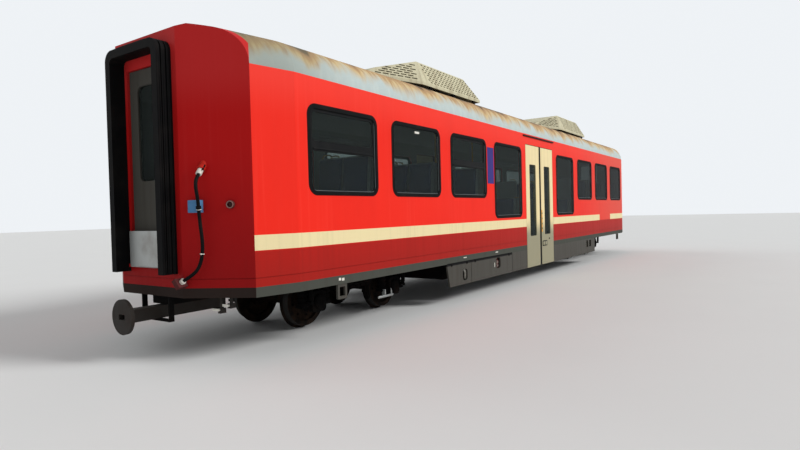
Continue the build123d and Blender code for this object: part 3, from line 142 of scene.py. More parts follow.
class Recipe:
    """Node tree of one material, put together step by step."""

    def __init__(self, name: str) -> None:
        """Starts an empty material with its shader and its place on the piece.

        Args:
            name: The material's name.
        """
        self.material = bpy.data.materials.new(name)
        self.material.use_nodes = True
        tree = self.material.node_tree
        self.nodes, self.links = tree.nodes, tree.links
        self.shader = self.nodes["Principled BSDF"]
        self.place = self.nodes.new("ShaderNodeTexCoord").outputs["Object"]
        self.split = None

    def feed(self, socket: Socket, value: Socket | float | Sequence[float]) -> None:
        """Links a socket to another, or sets its own value.

        Args:
            socket: The socket.
            value: What goes into it.
        """
        if isinstance(value, bpy.types.NodeSocket):
            self.links.new(value, socket)
        elif isinstance(value, (int, float)):
            socket.default_value = value
        else:
            socket.default_value = (*value, 1.0) if len(socket.default_value) == 4 else tuple(value)

    def combine(self, kind: str, operation: str, *values: Socket | float | Sequence[float]) -> Socket:
        """Result of a Math or VectorMath node.

        Args:
            kind: Math or VectorMath.
            operation: What the node does.
            values: What goes into it.

        Returns:
            The node's result.
        """
        node = self.nodes.new(f"ShaderNode{kind}")
        node.operation = operation
        for socket, value in zip(node.inputs, values):
            self.feed(socket, value)
        return node.outputs[1 if operation in NUMBER_OF_VECTOR else 0]

    def times(self, a: Socket | float, b: Socket | float) -> Socket:
        """Product of two values."""
        return self.combine("Math", "MULTIPLY", a, b)

    def plus(self, a: Socket | float, b: Socket | float) -> Socket:
        """Sum of two values."""
        return self.combine("Math", "ADD", a, b)

    def size(self, value: Socket) -> Socket:
        """A value without its sign."""
        return self.combine("Math", "ABSOLUTE", value)

    def axis(self, index: int) -> Socket:
        """The piece's own x, y or z.

        Args:
            index: 0, 1 or 2.

        Returns:
            The coordinate.
        """
        if self.split is None:
            self.split = self.nodes.new("ShaderNodeSeparateXYZ")
            self.feed(self.split.inputs[0], self.place)
        return self.split.outputs[index]

    def drawn(self, scale: Point, move: Point = (0, 0, 0)) -> Socket:
        """The piece's own place, moved and then drawn out or pressed together along its axes."""
        moved = self.combine("VectorMath", "ADD", self.place, move)
        return self.combine("VectorMath", "MULTIPLY", moved, scale)

    def texture(self, kind: str, scale: Point | float) -> bpy.types.Node:
        """Texture node over the piece at one scale, or at a scale for each axis.

        Args:
            kind: Noise or Voronoi.
            scale: One scale, or one for each axis.

        Returns:
            The new node.
        """
        node = self.nodes.new(f"ShaderNodeTex{kind}")
        single = isinstance(scale, (int, float))
        self.feed(node.inputs["Vector"], self.place if single else self.drawn(scale))
        self.feed(node.inputs["Scale"], scale if single else 1.0)
        return node

    def noise(self, scale: Point | float, detail: float) -> Socket:
        """Cloudy value from 0 to 1, about a half on the whole.

        Args:
            scale: One scale, or one for each axis.
            detail: How many finer layers it has.

        Returns:
            The cloudy value.
        """
        node = self.texture("Noise", scale)
        self.feed(node.inputs["Detail"], detail)
        return node.outputs["Fac"]

    def cells(self, scale: float) -> Socket:
        """Distance to the nearest of many scattered points."""
        return self.texture("Voronoi", scale).outputs["Distance"]

    def rise(self, value: Socket | float, low: float, high: float) -> Socket:
        """Smooth step of a value from 0 at low to 1 at high.

        Args:
            value: What rises.
            low, high: Where the step starts and ends.

        Returns:
            The step's value.
        """
        node = self.nodes.new("ShaderNodeMapRange")
        node.interpolation_type = "SMOOTHSTEP"
        for name, given in (("Value", value), ("From Min", low), ("From Max", high)):
            self.feed(node.inputs[name], given)
        return node.outputs["Result"]

    def band(self, value: Socket, low: float, high: float, soft: float) -> Socket:
        """1 where a value lies between low and high, with soft borders.

        Args:
            value: What is looked at.
            low, high: The band's borders.
            soft: Half the width of a border.

        Returns:
            The band's value.
        """
        over = self.rise(value, low - soft, low + soft)
        under = self.combine("Math", "SUBTRACT", 1.0, self.rise(value, high - soft, high + soft))
        return self.times(over, under)

    def mixed(self, share: Socket | float, a: Socket | Colour, b: Socket | Colour) -> Socket:
        """Colour a, giving way to b as share goes from 0 to 1.

        Args:
            share: How much of b shows.
            a, b: The two colours.

        Returns:
            The mixed colour.
        """
        node = self.nodes.new("ShaderNodeMix")
        node.data_type = "RGBA"
        for index, value in ((0, share), (6, a), (7, b)):
            self.feed(node.inputs[index], value)
        return node.outputs[2]

    def worn(self, a: Socket | Colour, b: Socket | Colour, value: Socket, low: float, high: float,
             share: float = 1.0) -> Socket:
        """Colour a, giving way to b where a value rises.

        Args:
            a, b: The two colours.
            value: What decides between them.
            low, high: The span over which it rises.
            share: How much of b shows at the most.

        Returns:
            The mixed colour.
        """
        return self.mixed(self.times(self.rise(value, low, high), share), a, b)

    def level(self, share: Socket, a: float, b: float) -> Socket:
        """Value a, giving way to b as share goes from 0 to 1."""
        return self.plus(self.times(share, b - a), a)

    def outward(self, axes: Point, centre_z: float) -> Socket:
        """How much a face looks away from the coach's long middle line.

        Args:
            axes: Weight of each axis.
            centre_z: Level of the middle line.

        Returns:
            A value above 0 on outer faces and below 0 on inner ones.
        """
        normal = self.nodes.new("ShaderNodeNewGeometry").outputs["Normal"]
        return self.combine("VectorMath", "DOT_PRODUCT", normal, self.drawn(axes, (0, 0, -centre_z)))

    def bump(self, height: Socket, depth: float, strength: float = 1.0) -> None:
        """Adds relief of a real depth, on top of any that is there.

        Args:
            height: The relief as a value.
            depth: Its depth in metres.
            strength: How strongly it shows.
        """
        node = self.nodes.new("ShaderNodeBump")
        for name, value in (("Strength", strength), ("Distance", depth), ("Height", height)):
            self.feed(node.inputs[name], value)
        normal = self.shader.inputs["Normal"]
        if normal.is_linked:
            self.feed(node.inputs["Normal"], normal.links[0].from_socket)
        self.feed(normal, node.outputs["Normal"])

    def give(self, **values: Socket | float | Colour) -> None:
        """Sets the shader's sockets; an underscore in a name stands for a space."""
        for name, value in values.items():
            self.feed(self.shader.inputs[name.replace("_", " ")], value)

    def laid(self) -> Socket:
        """The colour that the shader has so far."""
        return self.shader.inputs["Base Color"].links[0].from_socket


@dataclass(frozen=True)
class Finish:
    """Plain paint or plastic with cloudy wear, road dirt and a fine grain."""

    name: str
    colour: Colour
    dirt: Colour = (0.12, 0.1, 0.08)
    dirt_share: float = 0.25
    roughness: float = 0.45
    metallic: float = 0.0
    gloss: float = 0.06
    grain: float = 60.0
    grain_depth: float = 0.0004
    streaks: bool = False

    def lay(self, recipe: Recipe) -> None:
        """Adds the finish to a recipe.

        Args:
            recipe: The recipe of the material.
        """
        clouds = recipe.noise((14, 14, 0.8), 5) if self.streaks else recipe.noise(5.0, 6)
        recipe.give(Base_Color=recipe.worn(self.colour, self.dirt, clouds, 0.42, 0.75, self.dirt_share),
                    Roughness=recipe.level(clouds, self.roughness - 0.08, self.roughness + 0.12),
                    Metallic=self.metallic, Specular_IOR_Level=self.gloss)
        recipe.bump(recipe.noise(self.grain, 3), self.grain_depth)

    def material(self) -> bpy.types.Material:
        """Makes the material.

        Returns:
            The finished material.
        """
        recipe = Recipe(self.name)
        self.lay(recipe)
        return recipe.material


@dataclass(frozen=True)
class BodyPaint(Finish):
    """Signal red with a cream stripe, darker below it as painted shade, and a pale lining on inner faces."""

    bleach_and_sky_light: Colour = display(246, 74, 62)
    deep: Colour = display(214, 36, 28)
    sky_glare_pale: Colour = display(196, 104, 88)
    sky_glare_share: float = 0.45
    shaded_low_red: Colour = display(170, 32, 26)
    grime_and_shade: Colour = display(144, 34, 28)
    belt: float = 1.003
    belt_soft: float = 0.02
    seam: Span = (0.745, 0.757)
    seam_colour: Colour = display(70, 12, 12)
    stripe: Colour = display(232, 216, 168)
    dusty_stripe: Colour = display(196, 186, 142)
    lining: Colour = display(168, 168, 160)
    striped: bool = True
    inner_axes: Point = (0.0, 1.0, 0.0)
    bare: Span = (4.173, 5.216)

    def lay(self, recipe: Recipe) -> None:
        """Lays the red fields, the stripe, the streaks and the lining.

        Args:
            recipe: The recipe of the material.
        """
        x, y, z = (recipe.axis(index) for index in range(3))
        streaks, broad = recipe.noise((26, 26, 0.45), 6), recipe.noise((2.2, 2.2, 0.7), 4)
        red = recipe.worn(self.colour, self.bleach_and_sky_light, streaks, 0.5, 0.8, 0.3)
        red = recipe.worn(red, self.deep, broad, 0.45, 0.75, 0.25)
        # Lighter towards the top; on the end panels this lightening is painted sky light.
        red = recipe.worn(red, self.bleach_and_sky_light, z, 2.2, 2.7, 0.5)
        # Paler towards end b: painted reflection of sky glare on the side at a grazing angle.
        red = recipe.worn(red, self.sky_glare_pale, x, 1.5, 6.5, self.sky_glare_share)
        # Below the belt the red is painted shade, as the lower side leans in out of the light, mixed with
        # grime streaks; it darkens further towards the bottom.
        low = recipe.worn(self.shaded_low_red, self.grime_and_shade, streaks, 0.4, 0.75, 0.35)
        low = recipe.worn(low, self.grime_and_shade, z, 0.98, 0.66, 0.4)
        red = recipe.worn(red, low, z, self.belt + self.belt_soft, self.belt - self.belt_soft)
        seam = recipe.times(recipe.band(z, *self.seam, 0.002), 0.22)
        red = recipe.mixed(seam, red, self.seam_colour)
        if self.striped:
            stripe = recipe.worn(self.stripe, self.dusty_stripe, streaks, 0.45, 0.8, 0.3)
            bare = recipe.times(recipe.band(x, *self.bare, 0.002), recipe.rise(y, 0.1, -0.1))
            mask = recipe.band(z, SIZES.stripe_low, SIZES.stripe_high, 0.0015)
            red = recipe.mixed(recipe.times(mask, recipe.combine("Math", "SUBTRACT", 1.0, bare)), red, stripe)
        inner = recipe.rise(recipe.outward(self.inner_axes, 0.0), -0.3, -0.45)
        recipe.give(Base_Color=recipe.mixed(inner, red, self.lining),
                    Roughness=recipe.level(streaks, 0.42, 0.62), Specular_IOR_Level=self.gloss)
        recipe.bump(recipe.noise((1.2, 1.2, 2.0), 2), 0.006, 0.5)
        recipe.bump(recipe.noise(90.0, 2), 0.0003)


@dataclass(frozen=True)
class RoofPaint(Finish):
    """Pale weathered grey at the roof's edge with tan rust streaks towards the crown."""

    chalk: Colour = display(206, 214, 208)
    straw: Colour = display(206, 182, 136)
    rust: Colour = display(176, 142, 104)
    soot: Colour = display(104, 88, 70)
    dull_dirt_and_shade: Colour = display(112, 112, 92)
    lining: Colour = display(190, 190, 182)

    def lay(self, recipe: Recipe) -> None:
        """Lays the grey edge, the rusty crown, its runs and the lining.

        Args:
            recipe: The recipe of the material.
        """
        wave = recipe.axis(2)
        runs, fine = recipe.noise((3.2, 1.2, 1.2), 6), recipe.noise((16, 3.0, 3.0), 5)
        for clouds, reach in ((runs, 0.5), (fine, 0.1)):
            wave = recipe.plus(wave, recipe.times(recipe.plus(clouds, -0.5), reach))
        colour = recipe.worn(self.colour, self.chalk, fine, 0.4, 0.75, 0.35)
        gold = recipe.worn(self.straw, self.rust, fine, 0.38, 0.7)
        for other, low, high in ((gold, 2.76, 2.93), (self.rust, 2.9, 2.985), (self.soot, 2.985, 3.06)):
            colour = recipe.worn(colour, other, wave, low, high)
        # Greyer and darker towards end a: painted shade together with dirt.
        colour = recipe.worn(colour, self.dull_dirt_and_shade, recipe.axis(0), -5.4, -6.9, 0.5)
        inner = recipe.rise(recipe.outward((1, 1, 1), 2.2), 0.0, -0.1)
        recipe.give(Base_Color=recipe.mixed(inner, colour, self.lining),
                    Roughness=recipe.level(fine, 0.5, 0.75), Specular_IOR_Level=self.gloss)
        recipe.bump(fine, 0.0015, 0.5)


@dataclass(frozen=True)
class FramePaint(Finish):
    """Black dusty steel of the underframe with its sill band in the skirts' grey, near black on the end faces
    as painted shade with brake dust.
    """

    grey: Colour = display(73, 75, 69)
    grey_dust: Colour = display(66, 63, 57)
    end_shade_and_dust: Colour = display(44, 30, 28)
    sill: Span = (0.574, 0.672)

    def lay(self, recipe: Recipe) -> None:
        """Lays the dusty black and the grey outer band.

        Args:
            recipe: The recipe of the material.
        """
        super().lay(recipe)
        x, y, z = (recipe.axis(index) for index in range(3))
        wide, far = recipe.size(y), recipe.size(x)
        mask = recipe.band(z, *self.sill, 0.001)
        for side, end in (((1.092, 1.096), (6.88, 6.9)), ((0.38, 0.4), (7.29, 7.3))):
            within = recipe.combine("Math", "MAXIMUM", recipe.rise(wide, *side), recipe.rise(far, *end))
            mask = recipe.times(mask, within)
        grey = recipe.worn(self.grey, self.grey_dust, recipe.noise((10, 10, 2), 5), 0.45, 0.75, 0.35)
        # The sill on the end faces is painted near black: painted shade with brake dust.
        grey = recipe.worn(grey, self.end_shade_and_dust, recipe.outward((1, 0, 0), 0.0), 2.5, 3.5, 0.85)
        recipe.give(Base_Color=recipe.mixed(mask, recipe.laid(), grey))


@dataclass(frozen=True)
class FlapPaint(Finish):
    """Skirt grey with a dark top edge: painted shadow of the gap above the flap."""

    edge: float = 0.545
    gap_shadow: Colour = display(16, 15, 15)

    def lay(self, recipe: Recipe) -> None:
        """Lays the grey and the painted shadow along the top edge.

        Args:
            recipe: The recipe of the material.
        """
        super().lay(recipe)
        level = recipe.axis(2)
        # Dark band along the top edge: painted shadow of the gap under the sill.
        recipe.give(Base_Color=recipe.worn(recipe.laid(), self.gap_shadow, level, self.edge, self.edge + 0.004))


@dataclass(frozen=True)
class WheelSteel(Finish):
    """Wheel steel painted near black as shade under the coach, with a tread painted dark as shade too, turned
    about one axle.
    """

    axle_x: float = 0.0
    shaded_tread: Colour = (0.035, 0.033, 0.031)
    tread_radii: Span = (0.2945, 0.3015)
    tread_sides: Span = (0.384, 0.458)
    ring_count: float = 1400.0

    def lay(self, recipe: Recipe) -> None:
        """Lays dusty steel, turned rings and the tread, painted dark as shade.

        Args:
            recipe: The recipe of the material.
        """
        flat = recipe.drawn((1, 0, 1), (-self.axle_x, 0, -SIZES.axle_level))
        radius = recipe.combine("VectorMath", "LENGTH", flat)
        clouds = recipe.noise(9.0, 6)
        dust_and_shade = recipe.worn(self.colour, self.dirt, clouds, 0.35, 0.7)
        tread = recipe.times(recipe.band(radius, *self.tread_radii, 0.001),
                             recipe.band(recipe.size(recipe.axis(1)), *self.tread_sides, 0.003))
        # The tread, bright steel on the real wheel, is painted dark as shade.
        recipe.give(Base_Color=recipe.mixed(tread, dust_and_shade, self.shaded_tread),
                    Roughness=recipe.level(tread, 0.8, 0.5), Metallic=recipe.level(tread, 0.0, 0.4),
                    Specular_IOR_Level=self.gloss)
        rings = recipe.combine("Math", "SINE", recipe.times(radius, self.ring_count))
        recipe.bump(rings, 0.0002, 0.4)
        recipe.bump(clouds, 0.001)


@dataclass(frozen=True)
class TintedGlass(Finish):
    """Dark tinted pane with a faint film of dust, darker towards end b as painted darkness of the scenery
    seen through it.
    """

    far_scenery_dark: Colour = (0.12, 0.14, 0.14)
    film: Colour = (0.2, 0.22, 0.21)

    def lay(self, recipe: Recipe) -> None:
        """Lays a clear dark pane whose dust makes it a little rough.

        Args:
            recipe: The recipe of the material.
        """
        film = recipe.noise((3, 3, 1.2), 5)
        # Darker towards end b: painted darkness of the dark scenery seen through the far panes.
        tint = recipe.worn(self.colour, self.far_scenery_dark, recipe.axis(0), 0.5, 6.0)
        recipe.give(Base_Color=recipe.worn(tint, self.film, film, 0.5, 0.9, 0.25),
                    Roughness=recipe.level(film, 0.0, 0.06), IOR=1.04, Specular_IOR_Level=0.1,
                    Transmission_Weight=0.96)


@dataclass(frozen=True)
class Cloth(Finish):
    """Woven seat cloth with a soft fleck."""

    fleck: Colour = display(96, 120, 170)
    thread_count: float = 1500.0

    def lay(self, recipe: Recipe) -> None:
        """Lays crossed threads and their flecks.

        Args:
            recipe: The recipe of the material.
        """
        threads = [recipe.combine("Math", "SINE", recipe.times(recipe.axis(index), self.thread_count))
                   for index in range(3)]
        weave = recipe.times(recipe.plus(threads[0], threads[2]), threads[1])
        clouds = recipe.noise(4.0, 4)
        worn = recipe.worn(self.colour, self.dirt, clouds, 0.45, 0.7, 0.3)
        recipe.give(Base_Color=recipe.worn(worn, self.fleck, recipe.noise(70.0, 2), 0.55, 0.66, 0.6),
                    Roughness=recipe.level(clouds, 0.82, 0.95), Sheen_Weight=0.35)
        recipe.bump(weave, 0.0004, 0.6)


@dataclass(frozen=True)
class FloorSheet(Finish):
    """Speckled studded floor sheet with worn paths."""

    speck: Colour = (0.28, 0.29, 0.3)

    def lay(self, recipe: Recipe) -> None:
        """Lays the speckle, the studs and the wear.

        Args:
            recipe: The recipe of the material.
        """
        clouds = recipe.noise(3.0, 5)
        base = recipe.worn(self.colour, self.dirt, clouds, 0.4, 0.7)
        recipe.give(Base_Color=recipe.worn(self.speck, base, recipe.cells(160.0), 0.12, 0.3),
                    Roughness=recipe.level(clouds, 0.6, 0.85))
        recipe.bump(recipe.rise(recipe.cells(38.0), 0.35, 0.2), 0.0012)


@dataclass(frozen=True)
class SocketPaint(Finish):
    """Dark socket metal, with the jumper socket above a level in red."""

    red_above: float = 1.55
    red: Colour = display(190, 44, 34)
    dull_red: Colour = display(120, 34, 28)

    def lay(self, recipe: Recipe) -> None:
        """Lays the dark metal and the red socket.

        Args:
            recipe: The recipe of the material.
        """
        super().lay(recipe)
        above = recipe.rise(recipe.axis(2), self.red_above, self.red_above + 0.002)
        red = recipe.worn(self.red, self.dull_red, recipe.noise(40.0, 4), 0.5, 0.7, 0.5)
        recipe.give(Base_Color=recipe.mixed(above, recipe.laid(), red))


@dataclass(frozen=True)
class DoorPaint(Finish):
    """Cream door paint that is darker and greyer below the belt: painted shade of the inward-leaning lower
    body, with road dust.
    """

    dust_and_shade: Colour = display(150, 145, 120)
    dust_shade_top: float = 1.22
    dust_shade_full: float = 0.88

    def lay(self, recipe: Recipe) -> None:
        """Lays the streaky cream and its painted shade and dust below the belt.

        Args:
            recipe: The recipe of the material.
        """
        super().lay(recipe)
        wave = recipe.times(recipe.noise((9, 9, 1.5), 4), 0.12)
        level = recipe.plus(recipe.axis(2), wave)
        # Below the belt: painted shade, as the lower body leans in out of the light, with road dust.
        recipe.give(Base_Color=recipe.worn(recipe.laid(), self.dust_and_shade, level, self.dust_shade_top, self.dust_shade_full))


BRAKE_DUST = display(44, 33, 26)
ROAD_DIRT = display(84, 76, 64)
# Wheel steel taken near black as painted shade under the coach.
SHADED_WHEEL_BLACK = display(20, 18, 17)
SKIRT_GREY = display(74, 72, 67)
SKIRT_WORN = display(64, 60, 54)


class Coat(Enum):
    """The finishes of the coach."""

    RED = BodyPaint("signal_red", display(238, 44, 30))
    # The end panels get a darker copy of the signal red: painted shade, darkest low down and lightening
    # gently towards the top as painted sky light.
    END_RED = BodyPaint("shaded_end_red", display(190, 24, 24), bleach_and_sky_light=display(204, 56, 56),
                        deep=display(176, 22, 22), shaded_low_red=display(160, 22, 24),
                        grime_and_shade=display(146, 24, 24), belt=1.4, belt_soft=0.7, sky_glare_share=0.0, striped=False,
                        inner_axes=(1.0, 1.0, 0.0))
    ROOF = RoofPaint("roof_grey", display(184, 196, 194))
    GREY = Finish("skirt_grey", SKIRT_GREY, SKIRT_WORN, 0.45, 0.5, streaks=True)
    FLAP = FlapPaint("flap_grey", SKIRT_GREY, SKIRT_WORN, 0.45, 0.5, streaks=True)
    FRAME = FramePaint("frame_black", display(16, 15, 15), BRAKE_DUST, 0.3, 0.8, grain=35.0,
                       grain_depth=0.001)
    CREAM = DoorPaint("door_cream", display(236, 218, 168), display(186, 168, 126), 0.3, 0.4, streaks=True)
    UNIT = Finish("hood_cream", display(204, 198, 168), display(136, 120, 92), 0.5, 0.5, streaks=True)
    BLACK = Finish("bogie_black", display(15, 14, 14), BRAKE_DUST, 0.3, 0.85, 0.0, 0.03, 28.0, 0.0014)
    SLOT = Finish("slot_shadow", display(26, 24, 21), display(58, 50, 40), 0.4, 0.85)
    STEEL = Finish("coupler_steel", display(50, 46, 43), BRAKE_DUST, 0.5, 0.65, 0.3, 0.2, 40.0, 0.001)
    RUBBER = Finish("seal_rubber", display(14, 14, 15), display(46, 43, 40), 0.25, 0.7, grain=120.0)
    GLASS = TintedGlass("tinted_pane", (0.3, 0.35, 0.34))
    DARK = Finish("sash_black", display(17, 18, 19), display(48, 47, 44), 0.25, 0.5)
    FLOOR = FloorSheet("floor_sheet", display(78, 82, 86), display(62, 60, 56))
    SHELL = Finish("seat_shell_grey", display(168, 172, 174), display(120, 116, 108), 0.2, 0.35, grain=200.0)
    CLOTH = Cloth("seat_cloth_blue", display(40, 62, 120), display(34, 44, 74))
    POLE = Finish("pole_yellow", display(232, 178, 52), display(150, 110, 44), 0.2, 0.3)
    BEAD = Finish("pane_edge_highlight", display(112, 118, 120), display(66, 70, 70), 0.4, 0.4, gloss=0.3)
    METAL = Finish("bare_metal", display(170, 172, 170), display(110, 100, 88), 0.4, 0.4, 0.7, 0.5, 90.0)
    BLUE = Finish("holder_blue", display(84, 132, 176), display(60, 74, 86), 0.35, 0.55)
    SOCKET = SocketPaint("socket_dark", display(86, 44, 44), ROAD_DIRT, 0.4, 0.5)
    RIM = Finish("socket_rim", display(150, 114, 110), ROAD_DIRT, 0.3, 0.5)
    WHITE = Finish("plug_white", display(226, 224, 214), display(160, 150, 130), 0.35, 0.45)
    CABLE = Finish("cable_rubber", display(13, 13, 14), display(40, 37, 33), 0.35, 0.6, grain=160.0,
                   grain_depth=0.0008)
    HOUSING = Finish("indicator_red", display(134, 60, 58), display(96, 50, 46), 0.35, 0.5)
    SIGN = Finish("sign_blue", display(52, 46, 122), display(70, 60, 116), 0.25, 0.4)
    AMBER = Finish("strip_amber", display(240, 170, 40), display(180, 110, 40), 0.3, 0.35)
    LAMP = Finish("lamp_cover", display(236, 238, 232), display(200, 200, 190), 0.15, 0.25)
    WHEEL_A1 = WheelSteel("wheel_a1", SHADED_WHEEL_BLACK, BRAKE_DUST, gloss=0.03, axle_x=AXLES["a1"])
    WHEEL_A2 = WheelSteel("wheel_a2", SHADED_WHEEL_BLACK, BRAKE_DUST, gloss=0.03, axle_x=AXLES["a2"])
    WHEEL_B1 = WheelSteel("wheel_b1", SHADED_WHEEL_BLACK, BRAKE_DUST, gloss=0.03, axle_x=AXLES["b1"])
    WHEEL_B2 = WheelSteel("wheel_b2", SHADED_WHEEL_BLACK, BRAKE_DUST, gloss=0.03, axle_x=AXLES["b2"])


@functools.cache
def material_of(coat: Coat) -> bpy.types.Material:
    """The one material of a finish."""
    return coat.value.material()


# Bench tools


HERE = Matrix.Identity(4)
LEFT = Matrix.Diagonal((1, -1, 1, 1))
END_B = Matrix.Diagonal((-1, 1, 1, 1))
TURNED = Matrix.Rotation(math.pi, 4, "Z")
UP, DOWN, OUT = (0.0, 0.0, 1.0), (0.0, 0.0, -1.0), (0.0, -1.0, 0.0)


def clear_hands() -> None:
    """Leaves edit mode and deselects everything."""
    held = bpy.context.view_layer.objects.active
    if held is not None and held.mode != "OBJECT":
        bpy.ops.object.mode_set(mode="OBJECT")
    for other in list(bpy.context.selected_objects):
        other.select_set(False)


def take(piece: Piece) -> None:
    """Selects one piece alone and makes it the active one.

    Args:
        piece: The piece.
    """
    clear_hands()
    bpy.context.view_layer.objects.active = piece
    piece.select_set(True)


def settle(piece: Piece, name: str) -> Piece:
    """Names a piece and puts its place into its mesh.

    Args:
        piece: The piece.
        name: Its new name.

    Returns:
        The same piece.
    """
    take(piece)
    bpy.ops.object.transform_apply(location=True, rotation=True, scale=True)
    piece.name = name
    piece.data.name = name
    return piece


def pick(piece: Piece, test: Callable[[Vector, Vector], bool]) -> None:
    """Opens a piece in edit mode with some faces selected.

    Args:
        piece: The piece to open.
        test: Tells from a face's centre and normal whether it is taken.
    """
    take(piece)
    bpy.ops.object.mode_set(mode="EDIT")
    bpy.ops.mesh.select_mode(type="FACE")
    bpy.ops.mesh.select_all(action="DESELECT")
    bpy.ops.object.mode_set(mode="OBJECT")
    for face in piece.data.polygons:
        face.select = bool(test(face.center, face.normal))
    bpy.ops.object.mode_set(mode="EDIT")


def press(piece: Piece, way: Point, *steps: tuple[float, float]) -> Piece:
    """Insets the faces that look one way and moves them in or out, once for each step.

    Args:
        piece: The piece.
        way: The way that the faces look.
        steps: Width of each inset, and how far out the faces then move.

    Returns:
        The same piece.
    """
    facing = Vector(way)
    pick(piece, lambda centre, normal: normal.dot(facing) > 0.9)
    for inset, out in steps:
        bpy.ops.mesh.inset(thickness=inset)
        bpy.ops.transform.translate(value=tuple(facing * out))
    clear_hands()
    return piece


def round_edges(piece: Piece, width: float, segments: int = 2, angle: float = 40.0) -> Piece:
    """Rounds a piece's sharp edges and shades it smooth.

    Args:
        piece: The piece.
        width: Width of the rounding.
        segments: Steps across it.
        angle: Edges sharper than this many degrees are rounded.

    Returns:
        The same piece.
    """
    take(piece)
    bevel = piece.modifiers.new("Edge", "BEVEL")
    bevel.width = width
    bevel.segments = segments
    bevel.limit_method = "ANGLE"
    bevel.angle_limit = math.radians(angle)
    bpy.ops.object.modifier_apply(modifier=bevel.name)
    bpy.ops.object.shade_smooth_by_angle(angle=math.radians(40))
    return piece


def block(name: str, low: Point, high: Point, edge: float = 0.003) -> Piece:
    """Box between two corners with rounded edges.

    Args:
        name: The piece's name.
        low, high: The lowest and highest corner.
        edge: Width of the edge rounding, or 0 to leave the edges for later.

    Returns:
        The new piece.
    """
    centre = [(a + b) / 2 for a, b in zip(low, high)]
    size = [abs(b - a) for a, b in zip(low, high)]
    clear_hands()
    bpy.ops.mesh.primitive_cube_add(size=1, location=centre, scale=size)
    piece = settle(bpy.context.object, name)
    return round_edges(piece, edge) if edge else piece


def rod(name: str, start: Point, end: Point, radius: float, sides: int = 16, edge: float = 0.002) -> Piece:
    """Round bar between two points with rounded rims.

    Args:
        name: The piece's name.
        start, end: The middles of its two ends.
        radius: Half its thickness.
        sides: Sides of its section.
        edge: Width of the rims' rounding, or 0 to leave them for later.

    Returns:
        The new piece.
    """
    start, end = Vector(start), Vector(end)
    run = end - start
    clear_hands()
    bpy.ops.mesh.primitive_cylinder_add(vertices=sides, radius=radius, depth=run.length,
                                        location=(start + end) / 2,
                                        rotation=run.to_track_quat("Z", "Y").to_euler())
    piece = settle(bpy.context.object, name)
    return round_edges(piece, edge, 2, 62.0) if edge else piece


def hoop(name: str, centre: Point, axis: Point, radius: float, thickness: float, sides: int = 28) -> Piece:
    """Round ring of round section about an axis.

    Args:
        name: The piece's name.
        centre: The ring's middle.
        axis: The way that its axis points.
        radius: Radius of its middle line.
        thickness: Radius of its section.
        sides: Steps round the ring.

    Returns:
        The new piece.
    """
    clear_hands()
    bpy.ops.mesh.primitive_torus_add(major_segments=sides, minor_segments=8, major_radius=radius,
                                     minor_radius=thickness, location=centre,
                                     rotation=Vector(axis).to_track_quat("Z", "Y").to_euler())
    piece = settle(bpy.context.object, name)
    bpy.ops.object.shade_smooth()
    return piece


def line(name: str, points: Sequence[Point], radius: float) -> Piece:
    """Smooth round line through space, as a curve that runs near its points.

    Args:
        name: The piece's name.
        points: Its control points.
        radius: Half its thickness.

    Returns:
        The curve object.
    """
    data = bpy.data.curves.new(name, "CURVE")
    data.dimensions = "3D"
    spline = data.splines.new("NURBS")
    spline.points.add(len(points) - 1)
    for knot, place in zip(spline.points, points):
        knot.co = (*place, 1.0)
    spline.order_u = 3
    spline.use_endpoint_u = True
    data.resolution_u = 10
    data.bevel_depth = radius
    data.bevel_resolution = 3
    data.use_fill_caps = True
    piece = bpy.data.objects.new(name, data)
    bpy.context.collection.objects.link(piece)
    return piece


def pipe(name: str, points: Sequence[Point], radius: float) -> Piece:
    """Fixed bent pipe as a mesh; see line.

    Args:
        name: The piece's name.
        points: Its control points.
        radius: Half its thickness.

    Returns:
        The new piece.
    """
    piece = line(name, points, radius)
    take(piece)
    bpy.ops.object.convert(target="MESH")
    piece = settle(bpy.context.object, name)
    bpy.ops.object.shade_smooth_by_angle(angle=math.radians(50))
    return piece


def join(pieces: Sequence[Piece], name: str) -> Piece:
    """Joins pieces into one, which keeps all their finishes.

    Args:
        pieces: The pieces; they are used up.
        name: Name of the new piece.

    Returns:
        The joined piece.
    """
    take(pieces[0])
    for other in pieces[1:]:
        other.select_set(True)
    if len(pieces) > 1:
        bpy.ops.object.join()
    return settle(pieces[0], name)


def copies(pattern: Piece, places: Iterable[Matrix], name: str) -> Piece:
    """Copies a pattern to several places, each with its own mesh, as one piece.

    Args:
        pattern: The piece that is copied; it is used up.
        places: Where each copy goes, from where the pattern is.
        name: Name of the new piece.

    Returns:
        The joined copies.
    """
    made = []
    for place in places:
        twin = pattern.copy()
        twin.data = pattern.data.copy()
        twin.data.transform(place)
        if place.determinant() < 0:
            twin.data.flip_normals()
        bpy.context.collection.objects.link(twin)
        made.append(twin)
    bpy.data.objects.remove(pattern)
    return join(made, name)


def row(piece: Piece, count: int, step: Point) -> Piece:
    """Repeats a piece in a straight row.

    Args:
        piece: The piece.
        count: How many there are then.
        step: From one to the next.

    Returns:
        The same piece, repeated.
    """
    if count < 2:
        return piece
    take(piece)
    array = piece.modifiers.new("Row", "ARRAY")
    array.count = count
    array.use_relative_offset = False
    array.use_constant_offset = True
    array.constant_offset_displace = step
    bpy.ops.object.modifier_apply(modifier=array.name)
    return piece


def paint(piece: Piece, coat: Coat) -> Piece:
    """Gives a piece one finish all over.

    Args:
        piece: The piece.
        coat: Its finish.

    Returns:
        The same piece.
    """
    piece.data.materials.clear()
    piece.data.materials.append(material_of(coat))
    return piece


def painted(pieces: Sequence[Piece], coat: Coat) -> list[Piece]:
    """Gives several pieces the same finish."""
    return [paint(piece, coat) for piece in pieces]


